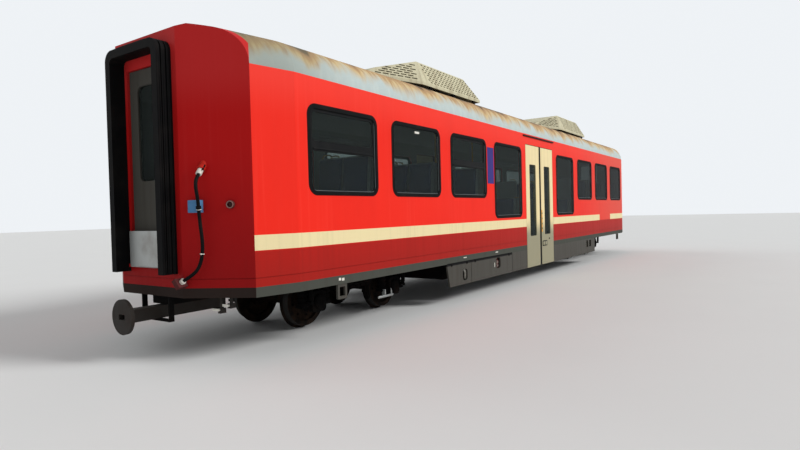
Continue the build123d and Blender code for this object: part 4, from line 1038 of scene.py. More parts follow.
def aim(centre: Point | Vector, axis: Point | Vector) -> Matrix:
    """Placement that brings an upright pattern at the origin to a centre, with its top along an axis."""
    return Matrix.Translation(Vector(centre)) @ Vector(axis).to_track_quat("Z", "Y").to_matrix().to_4x4()


def bolt(radius: float = 0.012, height: float = 0.009) -> Piece:
    """Hexagonal bolt head at the origin, on a washer, with its top along +Z.

    Args:
        radius: Half the head's width over its corners.
        height: Height of the head.

    Returns:
        The new piece.
    """
    clear_hands()
    bpy.ops.mesh.primitive_cylinder_add(vertices=12, radius=radius * 1.35, depth=height * 0.3,
                                        location=(0, 0, height * 0.15))
    washer = settle(bpy.context.object, "washer")
    clear_hands()
    bpy.ops.mesh.primitive_cylinder_add(vertices=6, radius=radius, depth=height,
                                        location=(0, 0, height * 0.7))
    head = press(settle(bpy.context.object, "bolt_head"), UP, (radius * 0.2, height * 0.12))
    return join([head, washer], "bolt")


def hand_over(piece: Piece, body: str = "coach_body", stands_for: Sequence[str] = ()) -> Piece:
    """Sets a finished piece on its body and reports it.

    Args:
        piece: The finished piece.
        body: The body that carries it.
        stands_for: Nodes that it replaces.

    Returns:
        The same piece.
    """
    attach(piece, body)
    if stands_for:
        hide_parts(*stands_for)
    size = len(piece.data.polygons) if piece.type == "MESH" else 0
    log.info("%s rides on %s, %d faces", piece.name, body, size)
    return piece


def fit(pieces: Sequence[Piece], name: str, places: Sequence[Matrix] = (HERE, LEFT),
        coat: Coat | None = None, body: str = "coach_body") -> Piece:
    """Joins pieces into one, copies it to its places and sets it on its body.

    Args:
        pieces: The pieces; they are used up.
        name: Name of the finished piece.
        places: Where its copies go.
        coat: One finish for all of it, or None where the pieces are painted already.
        body: The body that carries it.

    Returns:
        The finished piece.
    """
    piece = copies(join(pieces, name), places, name)
    if coat is not None:
        paint(piece, coat)
    return hand_over(piece, body)


# Camera and light


@dataclass
class Studio:
    """Camera at the photographed view, soft lamps, pale floor and backdrop."""

    eye: Point = (-10.416, -5.060, 1.313)
    yaw: float = 34.452
    pitch: float = -1.244
    roll: float = -1.461
    lens: float = 25.2
    sensor: float = 36.0
    sight: Span = (0.05, 400.0)
    ambient: float = 0.38
    sky: Colour = (0.96, 0.98, 1.0)
    backdrop: Colour = (0.86, 0.89, 0.92)
    lamps: tuple[tuple[str, Point, float, float], ...] = (
        ("key", (-0.45, 0.85, -0.62), 2.35, 20.0), ("fill", (0.9, 0.5, -0.55), 0.12, 40.0),
        ("back", (0.1, -1.0, -0.7), 0.6, 40.0))
    floor_size: float = 160.0
    floor_colour: Colour = (0.72, 0.72, 0.71)
    floor_shade: float = 0.96

    def set_camera(self) -> None:
        """Adds the camera."""
        yaw, pitch, roll = (math.radians(angle) for angle in (self.yaw, self.pitch, self.roll))
        ahead = Vector((math.cos(yaw) * math.cos(pitch), math.sin(yaw) * math.cos(pitch), math.sin(pitch)))
        right = Vector((math.sin(yaw), -math.cos(yaw), 0.0))
        up = right.cross(ahead)
        turned_right = right * math.cos(roll) + up * math.sin(roll)
        turned_up = up * math.cos(roll) - right * math.sin(roll)
        data = bpy.data.cameras.new("view")
        data.lens = self.lens
        data.sensor_width = self.sensor
        data.clip_start, data.clip_end = self.sight
        camera = bpy.data.objects.new("view", data)
        bpy.context.collection.objects.link(camera)
        axes = Matrix((turned_right, turned_up, -ahead)).transposed()
        camera.matrix_world = Matrix.Translation(self.eye) @ axes.to_4x4()
        bpy.context.scene.camera = camera

    def add_sun(self, name: str, towards: Point, strength: float, spread: float) -> None:
        """Adds one soft distant lamp.

        Args:
            name: The lamp's name.
            towards: The way that its light goes.
            strength: Its strength.
            spread: Its apparent size in degrees.
        """
        data = bpy.data.lights.new(name, "SUN")
        data.energy = strength
        data.angle = math.radians(spread)
        lamp = bpy.data.objects.new(name, data)
        bpy.context.collection.objects.link(lamp)
        lamp.rotation_euler = Vector(towards).to_track_quat("-Z", "Y").to_euler()

    def set_world(self) -> None:
        """Sets even light all round, with a white field behind the coach."""
        world = bpy.data.worlds.new("studio")
        world.use_nodes = True
        bpy.context.scene.world = world
        nodes, links = world.node_tree.nodes, world.node_tree.links
        light = nodes["Background"]
        seen = nodes.new("ShaderNodeBackground")
        for node, colour, strength in ((light, self.sky, self.ambient), (seen, self.backdrop, 1.0)):
            node.inputs["Color"].default_value = (*colour, 1.0)
            node.inputs["Strength"].default_value = strength
        rays = nodes.new("ShaderNodeLightPath")
        share = rays.outputs["Is Camera Ray"]
        for name in ("Is Glossy Ray", "Is Transmission Ray"):
            larger = nodes.new("ShaderNodeMath")
            larger.operation = "MAXIMUM"
            links.new(share, larger.inputs[0])
            links.new(rays.outputs[name], larger.inputs[1])
            share = larger.outputs[0]
        mix = nodes.new("ShaderNodeMixShader")
        links.new(share, mix.inputs[0])
        links.new(light.outputs[0], mix.inputs[1])
        links.new(seen.outputs[0], mix.inputs[2])
        links.new(mix.outputs[0], nodes["World Output"].inputs["Surface"])

    def set_floor(self) -> None:
        """Adds the pale floor."""
        clear_hands()
        bpy.ops.mesh.primitive_plane_add(size=self.floor_size, location=(0, 0, 0))
        ground = settle(bpy.context.object, "studio_floor")
        recipe = Recipe("studio_floor")
        shaded = tuple(value * self.floor_shade for value in self.floor_colour)
        recipe.give(Base_Color=recipe.mixed(recipe.noise(0.8, 4), self.floor_colour, shaded), Roughness=0.9)
        ground.data.materials.append(recipe.material)

    def build(self) -> None:
        """Adds the camera, the light and the floor."""
        bpy.context.scene.view_settings.view_transform = "Standard"
        self.set_camera()
        self.set_world()
        for lamp in self.lamps:
            self.add_sun(*lamp)
        self.set_floor()


# Carried-over nodes


@dataclass
class NodeCoats:
    """Finish of every node that comes over from the frame as it is."""

    coats: tuple[tuple[Coat, tuple[str, ...]], ...] = (
        (Coat.RED, ("side_wall_right", "side_wall_left")),
        (Coat.END_RED, ("end_wall_a", "end_wall_b")),
        (Coat.ROOF, ("roof",)),
        (Coat.RUBBER, ("window_rubbers", "door_rubbers", "gangway_frames")),
        (Coat.DARK, ("rain_gutters", "vent_sashes")),
        (Coat.FRAME, ("underframe",)),
        (Coat.GREY, ("skirts", "loop_brackets", "end_door_a", "end_door_b")),
        (Coat.FLAP, ("flap_right_1", "flap_right_2", "flap_left_1", "flap_left_2")),
        (Coat.FLOOR, ("floor",)),
        (Coat.GLASS, ("window_glass", "end_door_glass_a", "end_door_glass_b")),
        (Coat.CREAM, ("plug_doors",)),
        (Coat.UNIT, ("roof_units",)),
        (Coat.BLACK, ("roof_unit_feet", "bogie_frame_a", "bogie_frame_b", "axle_boxes_a", "axle_boxes_b",
                      "brake_gear_a", "brake_gear_b", "underfloor_cases", "springs_a", "springs_b")),
        (Coat.METAL, ("bridge_plate_a", "bridge_plate_b")),
        (Coat.STEEL, ("coupler_a", "coupler_b", "brake_cocks")),
        *((Coat[f"WHEEL_{axle.upper()}"], (f"wheelset_{axle}",)) for axle in AXLES),
        (Coat.SHELL, ("seat_shells",)),
        (Coat.CLOTH, ("seat_pads",)),
        (Coat.POLE, ("grab_poles",)),
        (Coat.SOCKET, ("end_sockets",)),
        (Coat.BLUE, ("cable_holder",)),
        (Coat.WHITE, ("jumper_plugs",)),
        (Coat.CABLE, ("jumper_cable",)),
    )

    def build(self) -> None:
        """Dresses each node and reports any that is left."""
        dressed = set()
        for coat, names in self.coats:
            for name in names:
                paint(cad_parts[name], coat)
                dressed.add(name)
            log.info("%s finish on %s", coat.value.name, ", ".join(names))
        left = sorted(set(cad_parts) - dressed)
        if left:
            raise ValueError(f"no finish for {left}")


# End a: jumper cable and sockets


@dataclass
class JumperCable:
    """Jumper cable on the right corner panel of end a, with its holder, its tie and the ribs of its plugs."""

    radius: float = 0.016
    rib_radius: float = 0.0255
    rib: float = 0.0022
    route: Points = (
        (0.472, 0.081, 1.704), (0.4755, 0.122, 1.662), (0.466, 0.158, 1.600), (0.456, 0.155, 1.520),
        (0.460, 0.126, 1.436), (0.466, 0.104, 1.348), (0.463, 0.094, 1.245), (0.452, 0.090, 1.133),
        (0.449, 0.092, 1.025), (0.463, 0.096, 0.925), (0.502, 0.096, 0.842), (0.570, 0.092, 0.788),
        (0.640, 0.084, 0.749))
    upper_ribs: Numbers = (0.008, 0.018, 0.028, 0.05)
    lower_rib: float = 0.008
    tie_level: float = 0.992
    clip_level: float = 1.405
    clip_rings: Numbers = (-0.012, -0.004, 0.004)
    clip_ring: Span = (0.0045, 0.004)
    clip_band: Point = (0.014, 0.004, 0.003)
    tie_ring: Span = (0.002, 0.0035)
    tie_head: Point = (0.012, 0.012, 0.01)
    holder_distance: float = 0.534
    holder_level: float = 1.418
    holder_size: Point = (0.12, 0.115, 0.06)
    lid_steps: Spans = ((0.010, 0.005), (0.014, -0.007))
    arm_inset: float = 0.045
    arm_radius: float = 0.008

    def middle_line(self, cable: Piece) -> list[Vector]:
        """Points along the cable's own line.

        Args:
            cable: The cable as a curve.

        Returns:
            The points in their order.
        """
        bare = cable.copy()
        bare.data = cable.data.copy()
        bare.data.bevel_depth = 0.0
        bpy.context.collection.objects.link(bare)
        bpy.context.view_layer.update()
        mesh = bpy.data.meshes.new_from_object(bare)
        spots = [vertex.co.copy() for vertex in mesh.vertices]
        bpy.data.objects.remove(bare)
        return spots

    def spot_at(self, spots: Sequence[Vector], level: float) -> tuple[Vector, Vector]:
        """Point of the cable's line at a level, and its run there."""
        near = min(range(1, len(spots) - 1), key=lambda k: abs(spots[k].z - level))
        return spots[near], (spots[near + 1] - spots[near - 1]).normalized()

    def holder(self, spot: Vector, run: Vector) -> Piece:
        """Holder box with its pressed lid, and the clip that guides the cable past it.

        Args:
            spot: Point of the cable's line in the clip.
            run: Direction of the cable there.

        Returns:
            The holder as one piece.
        """
        width, height, depth = self.holder_size
        body = block("holder", (-width / 2, -height / 2, -0.002), (width / 2, height / 2, depth), 0.0)
        press(body, UP, *self.lid_steps)
        round_edges(body, 0.004)
        along = Vector((SIZES.panel_sine, -SIZES.panel_cosine, 0.0))
        turn = Matrix((along, Vector(UP), SIZES.panel_way())).transposed().to_4x4()
        place = Matrix.Translation(SIZES.panel(self.holder_distance, 0.0, self.holder_level))
        body.data.transform(place @ turn)
        inner = Vector(SIZES.panel(self.holder_distance - self.arm_inset, depth - 0.004, spot.z))
        reach = (spot - inner).normalized()
        arm = rod("clip_arm", inner, spot - reach * (self.radius + 0.001), self.arm_radius)
        clear, thick = self.clip_ring
        rings = [hoop("clip", spot + run * step, run, self.radius + clear, thick) for step in self.clip_rings]
        step, clear, thick = self.clip_band
        band = hoop("clip_tie", spot + run * step, run, self.radius + clear, thick)
        return join([*painted([body, arm], Coat.BLUE), *painted(rings, Coat.DARK), paint(band, Coat.WHITE)],
                    "jumper_cable_holder")

    def tie(self, spot: Vector, run: Vector) -> Piece:
        """Cable tie with its head, at a point of the cable.

        Args:
            spot: Point of the cable's line.
            run: Direction of the cable there.

        Returns:
            The tie as one piece.
        """
        (clear, thick), half, outward = self.tie_ring, Vector(self.tie_head) / 2, SIZES.panel_way()
        loop = hoop("cable_tie", spot, run, self.radius + clear, thick)
        head = block("tie_head", -half, half, 0.0015)
        head.data.transform(aim(spot + outward * (self.radius + half.x), outward))
        return paint(join([loop, head], "cable_tie"), Coat.WHITE)

    def build(self) -> None:
        """Lays the cable and puts its holder, tie and ribs on."""
        points = [Vector(SIZES.panel(*spot)) for spot in self.route]
        cable = paint(line("jumper_cable_run", points, self.radius), Coat.CABLE)
        spots = self.middle_line(cable)
        tie = self.tie(*self.spot_at(spots, self.tie_level))
        holder = self.holder(*self.spot_at(spots, self.clip_level))
        hand_over(holder, stands_for=["cable_holder"])
        upper, lower = (points[1] - points[0]).normalized(), (points[-1] - points[-2]).normalized()
        places = [(points[0] - upper * step, upper) for step in self.upper_ribs]
        places.append((points[-1] + lower * self.lower_rib, lower))
        ribs = [hoop("rib", spot, axis, self.rib_radius, self.rib) for spot, axis in places]
        ribs = paint(join(ribs, "plug_ribs"), Coat.WHITE)
        hand_over(cable, stands_for=["jumper_cable"])
        hand_over(tie)
        hand_over(ribs)


@dataclass
class EndFittings:
    """Small parts on the sockets of end a."""

    cable_start: Point = (0.472, 0.081, 1.704)
    cable_next: Point = (0.476, 0.128, 1.655)
    plug_length: float = 0.06
    socket_radius: float = 0.034
    collars: Spans = ((0.006, 0.006), (0.05, 0.004))
    lever_size: Point = (0.014, 0.008, 0.07)
    lever_back: float = 0.028
    lever_way: Point = (-0.008, -0.0372, 0.0)
    ring_place: Point = (0.211, 0.03, 1.428)
    ring_shape: Span = (0.030, 0.0045)

    def build(self) -> None:
        """Adds the socket's collars and lever and the ring's rim."""
        top = Vector(SIZES.panel(*self.cable_start))
        axis = (Vector(SIZES.panel(*self.cable_next)) - top).normalized()
        mouth = top - axis * self.plug_length
        collars = [hoop("collar", mouth - axis * step, axis, self.socket_radius, thickness)
                   for step, thickness in self.collars]
        half = Vector(self.lever_size) / 2
        lever = block("lever", -half, half, 0.002)
        lever.data.transform(aim(mouth - axis * self.lever_back + Vector(self.lever_way), axis))
        fit(collars, "socket_collars", [HERE], Coat.SOCKET)
        fit([lever], "socket_lever", [HERE], Coat.DARK)
        rim = hoop("socket_ring_rim", SIZES.panel(*self.ring_place), SIZES.panel_way(), *self.ring_shape)
        hand_over(paint(rim, Coat.RIM))


# Roof units


@dataclass
class RoofUnitSlots:
    """Rows of pressed slots on the sloping faces of the two roof units."""

    starts: Span = (-3.485, 2.655)
    tip: Point = (-0.95, -0.44, 3.2146)
    shoulder: Point = (0.05, -0.745, 3.2146)
    apex: Point = (0.0, -0.657, 3.5106)
    brow: Span = (-0.75, 3.3096)
    tail: Point = (1.89, -0.745, 3.2146)
    tail_top: Point = (1.45, -0.657, 3.5106)
    nose_rows: int = 8
    side_rows: int = 8
    nose_slot: Point = (0.102, 0.015, 0.131)
    side_slot: Point = (0.051, 0.015, 0.094)
    margin: float = 0.012
    inset: float = 0.014
    band_front: Span = (0.09, 0.02)
    band_back: Span = (0.2, 0.025)
    slot_depth: Span = (-0.002, 0.003)
    slot_step: Span = (0.002, -0.0022)

    def slot(self, length: float, height: float) -> Piece:
        """Pressed slot at the origin: a low cream lip round a sunk dark floor.

        Args:
            length: Its length.
            height: Its height.

        Returns:
            The new piece.
        """
        low, high = self.slot_depth
        piece = block("slot", (0, -height / 2, low), (length, height / 2, high), 0.0)
        paint(piece, Coat.UNIT)
        piece.data.materials.append(material_of(Coat.SLOT))
        press(piece, UP, self.slot_step)
        for face in piece.data.polygons:
            if face.select:
                face.material_index = 1
        return piece

    def lay_rows(self, field: Sequence[Vector], row_way: Vector, rows: int, slot: Point,
                 stagger: float) -> list[Piece]:
        """Rows of slots on a flat field of the right side.

        Args:
            field: Corners of the field, in order round it.
            row_way: Direction of the rows.
            rows: How many rows.
            slot: Length and height of a slot, and the step from one to the next.
            stagger: Share of a step by which every other row is moved.

        Returns:
            One piece for each row.
        """
        length, height, pitch = slot
        row_way = row_way.normalized()
        normal = (field[1] - field[0]).cross(field[-1] - field[0]).normalized()
        if normal.y > 0:
            normal = -normal
        up = normal.cross(row_way)
        turn = Matrix((row_way, up, normal)).transposed().to_4x4()
        spots = [Vector((corner.dot(row_way), corner.dot(up))) for corner in field]
        low, high = min(spot.y for spot in spots), max(spot.y for spot in spots)
        made = []
        for index in range(rows):
            level = low + self.margin + (high - low - 2 * self.margin) * (index + 0.5) / rows
            cuts = []
            for start, end in zip(spots, spots[1:] + spots[:1]):
                if (start.y - level) * (end.y - level) < 0:
                    cuts.append(start.x + (end.x - start.x) * (level - start.y) / (end.y - start.y))
            begin, stop = min(cuts) + self.inset, max(cuts) - self.inset
            shift = stagger * pitch * (index % 2)
            count = math.floor((stop - begin - shift - length) / pitch) + 1
            if count < 1:
                continue
            strip = row(self.slot(length, height), count, (pitch, 0, 0))
            first = stop - shift - (count - 1) * pitch - length
            base = field[0] + row_way * (first - spots[0].x) + up * (level - spots[0].y)
            strip.data.transform(Matrix.Translation(base) @ turn)
            made.append(strip)
        return made

    def build(self) -> None:
        """Slots both units, on both sides."""
        ahead = Vector((1, 0, 0))
        for number, start in enumerate(self.starts, 1):
            tip, shoulder, apex, tail, tail_top = (ahead * start + Vector(corner) for corner in (
                self.tip, self.shoulder, self.apex, self.tail, self.tail_top))
            normal = (apex - shoulder).cross(tip - shoulder)
            x, z = start + self.brow[0], self.brow[1]
            y = shoulder.y - (normal.x * (x - shoulder.x) + normal.z * (z - shoulder.z)) / normal.y
            along = (tip - shoulder).normalized()
            field = (tip, shoulder + along * self.band_front[0], apex + along * self.band_front[1],
                     Vector((x, y, z)))
            nose = self.lay_rows(field, shoulder - tip, self.nose_rows, self.nose_slot, 0.5)
            field = (shoulder + ahead * self.band_back[0], tail, tail_top, apex + ahead * self.band_back[1])
            side = self.lay_rows(field, ahead, self.side_rows, self.side_slot, 0.0)
            fit(nose + side, f"roof_unit_slots_{number}")


# Doors and windows


@dataclass
class DoorFittings:
    """Warning strips, step lights, buttons and inner rails of the plug doors."""

    strip: Edges = (0.049, 0.088, 0.877, 1.297)
    mark_levels: Numbers = (0.93, 1.02, 1.12, 1.22)
    mark_height: float = 0.032
    mark_edge: float = 0.006
    box: Edges = (0.083, 0.33, 0.60, 0.705)
    cell_starts: Span = (0.105, 0.22)
    cell: tuple[float, float, float] = (0.088, 0.618, 0.687)
    button: Span = (0.45, 0.735)
    rails_x: Span = (-0.12, 0.12)
    rail_y: float = -1.118
    wall_y: float = -1.157
    rail_levels: Span = (1.1, 1.75)
    foot_levels: Span = (1.12, 1.73)

    def build(self) -> None:
        """Adds the fittings of both doors."""
        y = SIZES.side_y
        x0, x1, z0, z1 = self.strip
        made = [paint(block("strip", (x0, y - 0.004, z0), (x1, y + 0.001, z1), 0.0015), Coat.AMBER)]
        for level in self.mark_levels:
            mark = block("mark", (x0 + self.mark_edge, y - 0.0065, level),
                         (x1 - self.mark_edge, y - 0.003, level + self.mark_height), 0.0)
            made.append(paint(press(mark, OUT, (0.003, -0.0015)), Coat.DARK))
        fit(made, "door_strips", (HERE, TURNED))
        x0, x1, z0, z1 = self.box
        box = block("step_box", (x0, y - 0.004, z0), (x1, y + 0.001, z1), 0.002)
        width, z0, z1 = self.cell
        cells = [block("step_cell", (x, y - 0.0055, z0), (x + width, y - 0.003, z1), 0.001)
                 for x in self.cell_starts]
        x, z = self.button
        button = rod("button", (x, y - 0.012, z), (x, y + 0.001, z), 0.013, 20)
        fit([paint(box, Coat.DARK), *painted(cells, Coat.CREAM), paint(button, Coat.DARK)], "door_boxes",
            (HERE, TURNED))
        self.build_handrails()

    def build_handrails(self) -> None:
        """Adds the upright rails inside the leaves."""
        rails, y = [], self.rail_y
        for x in self.rails_x:
            rails.append(rod("rail", *[(x, y, level) for level in self.rail_levels], 0.011))
            rails += [rod("rail_foot", (x, self.wall_y, level), (x, y, level), 0.008, 12, 0.001)
                      for level in self.foot_levels]
        fit(rails, "door_rails", coat=Coat.POLE)


@dataclass
class WindowTrim:
    """Thin metal beads inside the window rubbers, and the bars and catches of the vents."""

    edge: float = 0.046
    bead: float = 0.005
    radius: float = 0.075
    bar: Edges = (0.085, 1.065, 1.972, 1.99)
    catch_shares: Span = (0.3, 0.7)
    catch: Edges = (-0.03, 0.03, 2.035, 2.053)

    def loop(self, x0: float, x1: float, z0: float, z1: float) -> Piece:
        """Rounded thin frame between two corners, just inside the rubber.

        Args:
            x0, x1: Its ends along the coach.
            z0, z1: Its lower and upper level.

        Returns:
            The frame.
        """
        clear_hands()
        middle = ((x0 + x1) / 2, SIZES.side_y + 0.006, (z0 + z1) / 2)
        bpy.ops.mesh.primitive_plane_add(size=1, location=middle, rotation=(math.pi / 2, 0, 0))
        piece = bpy.context.object
        piece.scale = (x1 - x0, z1 - z0, 1)
        settle(piece, "bead")
        bpy.ops.object.mode_set(mode="EDIT")
        bpy.ops.mesh.select_all(action="SELECT")
        bpy.ops.mesh.bevel(affect="VERTICES", offset=self.radius, offset_type="OFFSET", segments=6)
        bpy.ops.mesh.select_all(action="SELECT")
        bpy.ops.mesh.inset(thickness=self.bead)
        bpy.ops.mesh.delete(type="FACE")
        clear_hands()
        take(piece)
        wall = piece.modifiers.new("Wall", "SOLIDIFY")
        wall.thickness = self.bead
        wall.offset = 0.0
        bpy.ops.object.modifier_apply(modifier=wall.name)
        paint(piece, Coat.DARK)
        # The right and lower sides of each bead take the pale finish: painted highlight.
        piece.data.materials.append(material_of(Coat.BEAD))
        for face in piece.data.polygons:
            far, low = face.center.x > x1 - 2 * self.bead, face.center.z < z0 + 2 * self.bead
            face.material_index = int(far or low)
        return piece

    def catches(self, start: float) -> list[Piece]:
        """Bar and two catches of one vent.

        Args:
            start: Where its window starts.

        Returns:
            The pieces.
        """
        y = SIZES.side_y
        x0, x1, z0, z1 = self.bar
        made = [block("bar", (start + x0, y + 0.002, z0), (start + x1, y + 0.011, z1), 0.003)]
        x0, x1, z0, z1 = self.catch
        for share in self.catch_shares:
            x = start + SIZES.window_width * share
            made.append(block("catch", (x + x0, y + 0.028, z0), (x + x1, y + 0.05, z1), 0.004))
        return made

    def build(self) -> None:
        """Trims every side window."""
        beads, catches = [], []
        for index, start in enumerate(SIZES.window_starts):
            end, edge = start + SIZES.window_width, self.edge
            low = SIZES.tall_bottom if index in SIZES.tall_windows else SIZES.window_bottom
            beads.append(self.loop(start + edge, end - edge, low + edge, SIZES.window_top - edge))
            if index in SIZES.vent_windows:
                catches += self.catches(start)
        fit(beads, "window_beads")
        fit(catches, "vent_handles", coat=Coat.DARK)


@dataclass
class SideMarks:
    """Blank plates and strips on the sides, where the real ones carry signs."""

    strip: Edges = (-2.308, -2.078, 1.743, 2.317)
    sill_plates: tuple[Edges, ...] = (
        (-5.951, -5.915, 0.618, 0.645), (-5.900, -5.862, 0.612, 0.640),
        (-3.17, -3.08, 0.628, 0.642), (-2.07, -1.98, 0.628, 0.642))
    flap_plate: Edges = (-2.126, -2.108, 0.40, 0.47)
    pane_plate: Edges = (-4.40, -4.30, 2.318, 2.345)

    def plate(self, corners: Edges, coat: Coat, proud: float = 0.0025) -> Piece:
        """Thin blank plate on the right side, with a raised rim.

        Args:
            corners: Its two ends along the coach and its two levels.
            coat: Its finish.
            proud: How far it stands out.

        Returns:
            The painted plate.
        """
        x0, x1, z0, z1 = corners
        piece = block("plate", (x0, SIZES.side_y - proud, z0), (x1, SIZES.side_y + 0.0005, z1), 0.0)
        return paint(press(piece, OUT, (min(x1 - x0, z1 - z0) * 0.12, -0.0008)), coat)

    def build(self) -> None:
        """Adds the blue strip by the tall window, the small white plates and the strip on a pane."""
        fit([self.plate(self.strip, Coat.SIGN)], "blank_strips", (HERE, TURNED))
        plates = [self.plate(corners, Coat.WHITE) for corners in self.sill_plates]
        fit(plates, "blank_plates", (HERE, TURNED))
        for side, place in (("right", HERE), ("left", LEFT)):
            fit([self.plate(self.flap_plate, Coat.WHITE)], f"flap_mark_{side}", [place],
                body=f"flap_{side}_2")
        fit([self.plate(self.pane_plate, Coat.WHITE, -0.013)], "pane_mark", (HERE, TURNED))


@dataclass
class FlapFittings:
    """Indicators and levers behind the peep holes, bars in the skirt slots, and dark rubber strips above the
    flaps that stand in for the shadow of the gap.
    """

    inner_y: float = -1.155
    dial_x: float = -1.905
    dial_levels: Span = (0.462, 0.404)
    dial_radius: float = 0.028
    lever_x: float = -3.045
    slot_bars: Numbers = (3.10, 3.345)
    slot_boxes: tuple[tuple[str, float, Span, Span, float, Coat], ...] = (
        ("slot_bar", 0.012, (0.36, 0.57), (-0.008, 0.004), 0.004, Coat.UNIT),
        ("slot_back", 0.13, (0.34, 0.60), (0.02, 0.03), 0.004, Coat.BLACK),
        ("slot_web", 0.004, (0.38, 0.55), (0.0, 0.024), 0.001, Coat.BLACK))
    lip: Edges = (-3.655, -1.412, 0.5735, 0.5855)
    lever_path: Points = (
        (-0.02, 0.0, 0.45), (-0.012, 0.0, 0.42), (0.004, 0.0, 0.39), (-0.008, 0.0, 0.36),
        (0.012, 0.006, 0.32))

    def box(self, name: str, x: float, spread: Span, levels: Span, back: Span, edge: float,
            coat: Coat) -> Piece:
        """Box behind the right side's skirts.

        Args:
            name: The piece's name.
            x: What its width is measured from.
            spread: How far it reaches to each side of x.
            levels: Its lower and upper level.
            back: Its front and rear behind the inner face.
            edge: Width of the edge rounding.
            coat: Its finish.

        Returns:
            The painted box.
        """
        low = (x + spread[0], self.inner_y + back[0], levels[0])
        high = (x + spread[1], self.inner_y + back[1], levels[1])
        return paint(block(name, low, high, edge), coat)

    def dial(self, level: float) -> Piece:
        """Round indicator with a red rim and a sunk pale face.

        Args:
            level: Level of its middle.

        Returns:
            The indicator as one piece.
        """
        x, y = self.dial_x, self.inner_y
        face = rod("dial", (x, y, level), (x, y + 0.03, level), self.dial_radius, 24, 0.002)
        press(face, OUT, (0.006, -0.003))
        ring = hoop("dial_ring", (x, y, level), (0, 1, 0), self.dial_radius + 0.0005, 0.0035)
        return join([paint(face, Coat.WHITE), paint(ring, Coat.HOUSING)], "dial")

    def lever(self) -> Piece:
        """Bent white lever with its pin and its back plate.

        Returns:
            The lever as one piece.
        """
        x, y = self.lever_x, self.inner_y
        arm = pipe("lever", [(x + along, y + back, z) for along, back, z in self.lever_path], 0.015)
        knob = rod("knob", (x - 0.02, y - 0.003, 0.452), (x - 0.02, y + 0.02, 0.452), 0.018, 18)
        plate = self.box("lever_back", x, (-0.11, 0.09), (0.27, 0.60), (0.03, 0.04), 0.004, Coat.BLACK)
        pin = rod("lever_pin", (x - 0.02, y + 0.015, 0.452), (x - 0.02, y + 0.034, 0.452), 0.010, 12)
        return join([*painted([arm, knob], Coat.WHITE), plate, paint(pin, Coat.BLACK)], "lever")

    def build(self) -> None:
        """Adds the fittings on both sides."""
        x, y = self.dial_x, self.inner_y
        stem = rod("dial_stem", (x, y + 0.03, 0.46), (x, y + 0.04, 0.60), 0.012)
        fit([self.lever(), *[self.dial(level) for level in self.dial_levels],
             self.box("dial_case", x, (-0.05, 0.036), (0.365, 0.53), (0.012, 0.028), 0.006, Coat.HOUSING),
             self.box("dial_back", x, (-0.11, 0.1), (0.35, 0.56), (0.026, 0.036), 0.004, Coat.BLACK),
             paint(stem, Coat.BLACK)], "flap_indicators")
        bars = []
        for x in self.slot_bars:
            for name, half, levels, back, edge, coat in self.slot_boxes:
                bars.append(self.box(name, x, (-half, half), levels, back, edge, coat))
        fit(bars, "skirt_slot_bars")
        # Dark rubber strip above each flap: a painted shadow line of the gap between sill and flap.
        x0, x1, z0, z1 = self.lip
        lip = block("lip", (x0, SIZES.side_y - 0.0035, z0), (x1, SIZES.side_y + 0.004, z1), 0.0)
        press(lip, OUT, (0.003, -0.001))
        fit([round_edges(lip, 0.001)], "flap_gap_shadow_strips", coat=Coat.RUBBER)


# Running gear


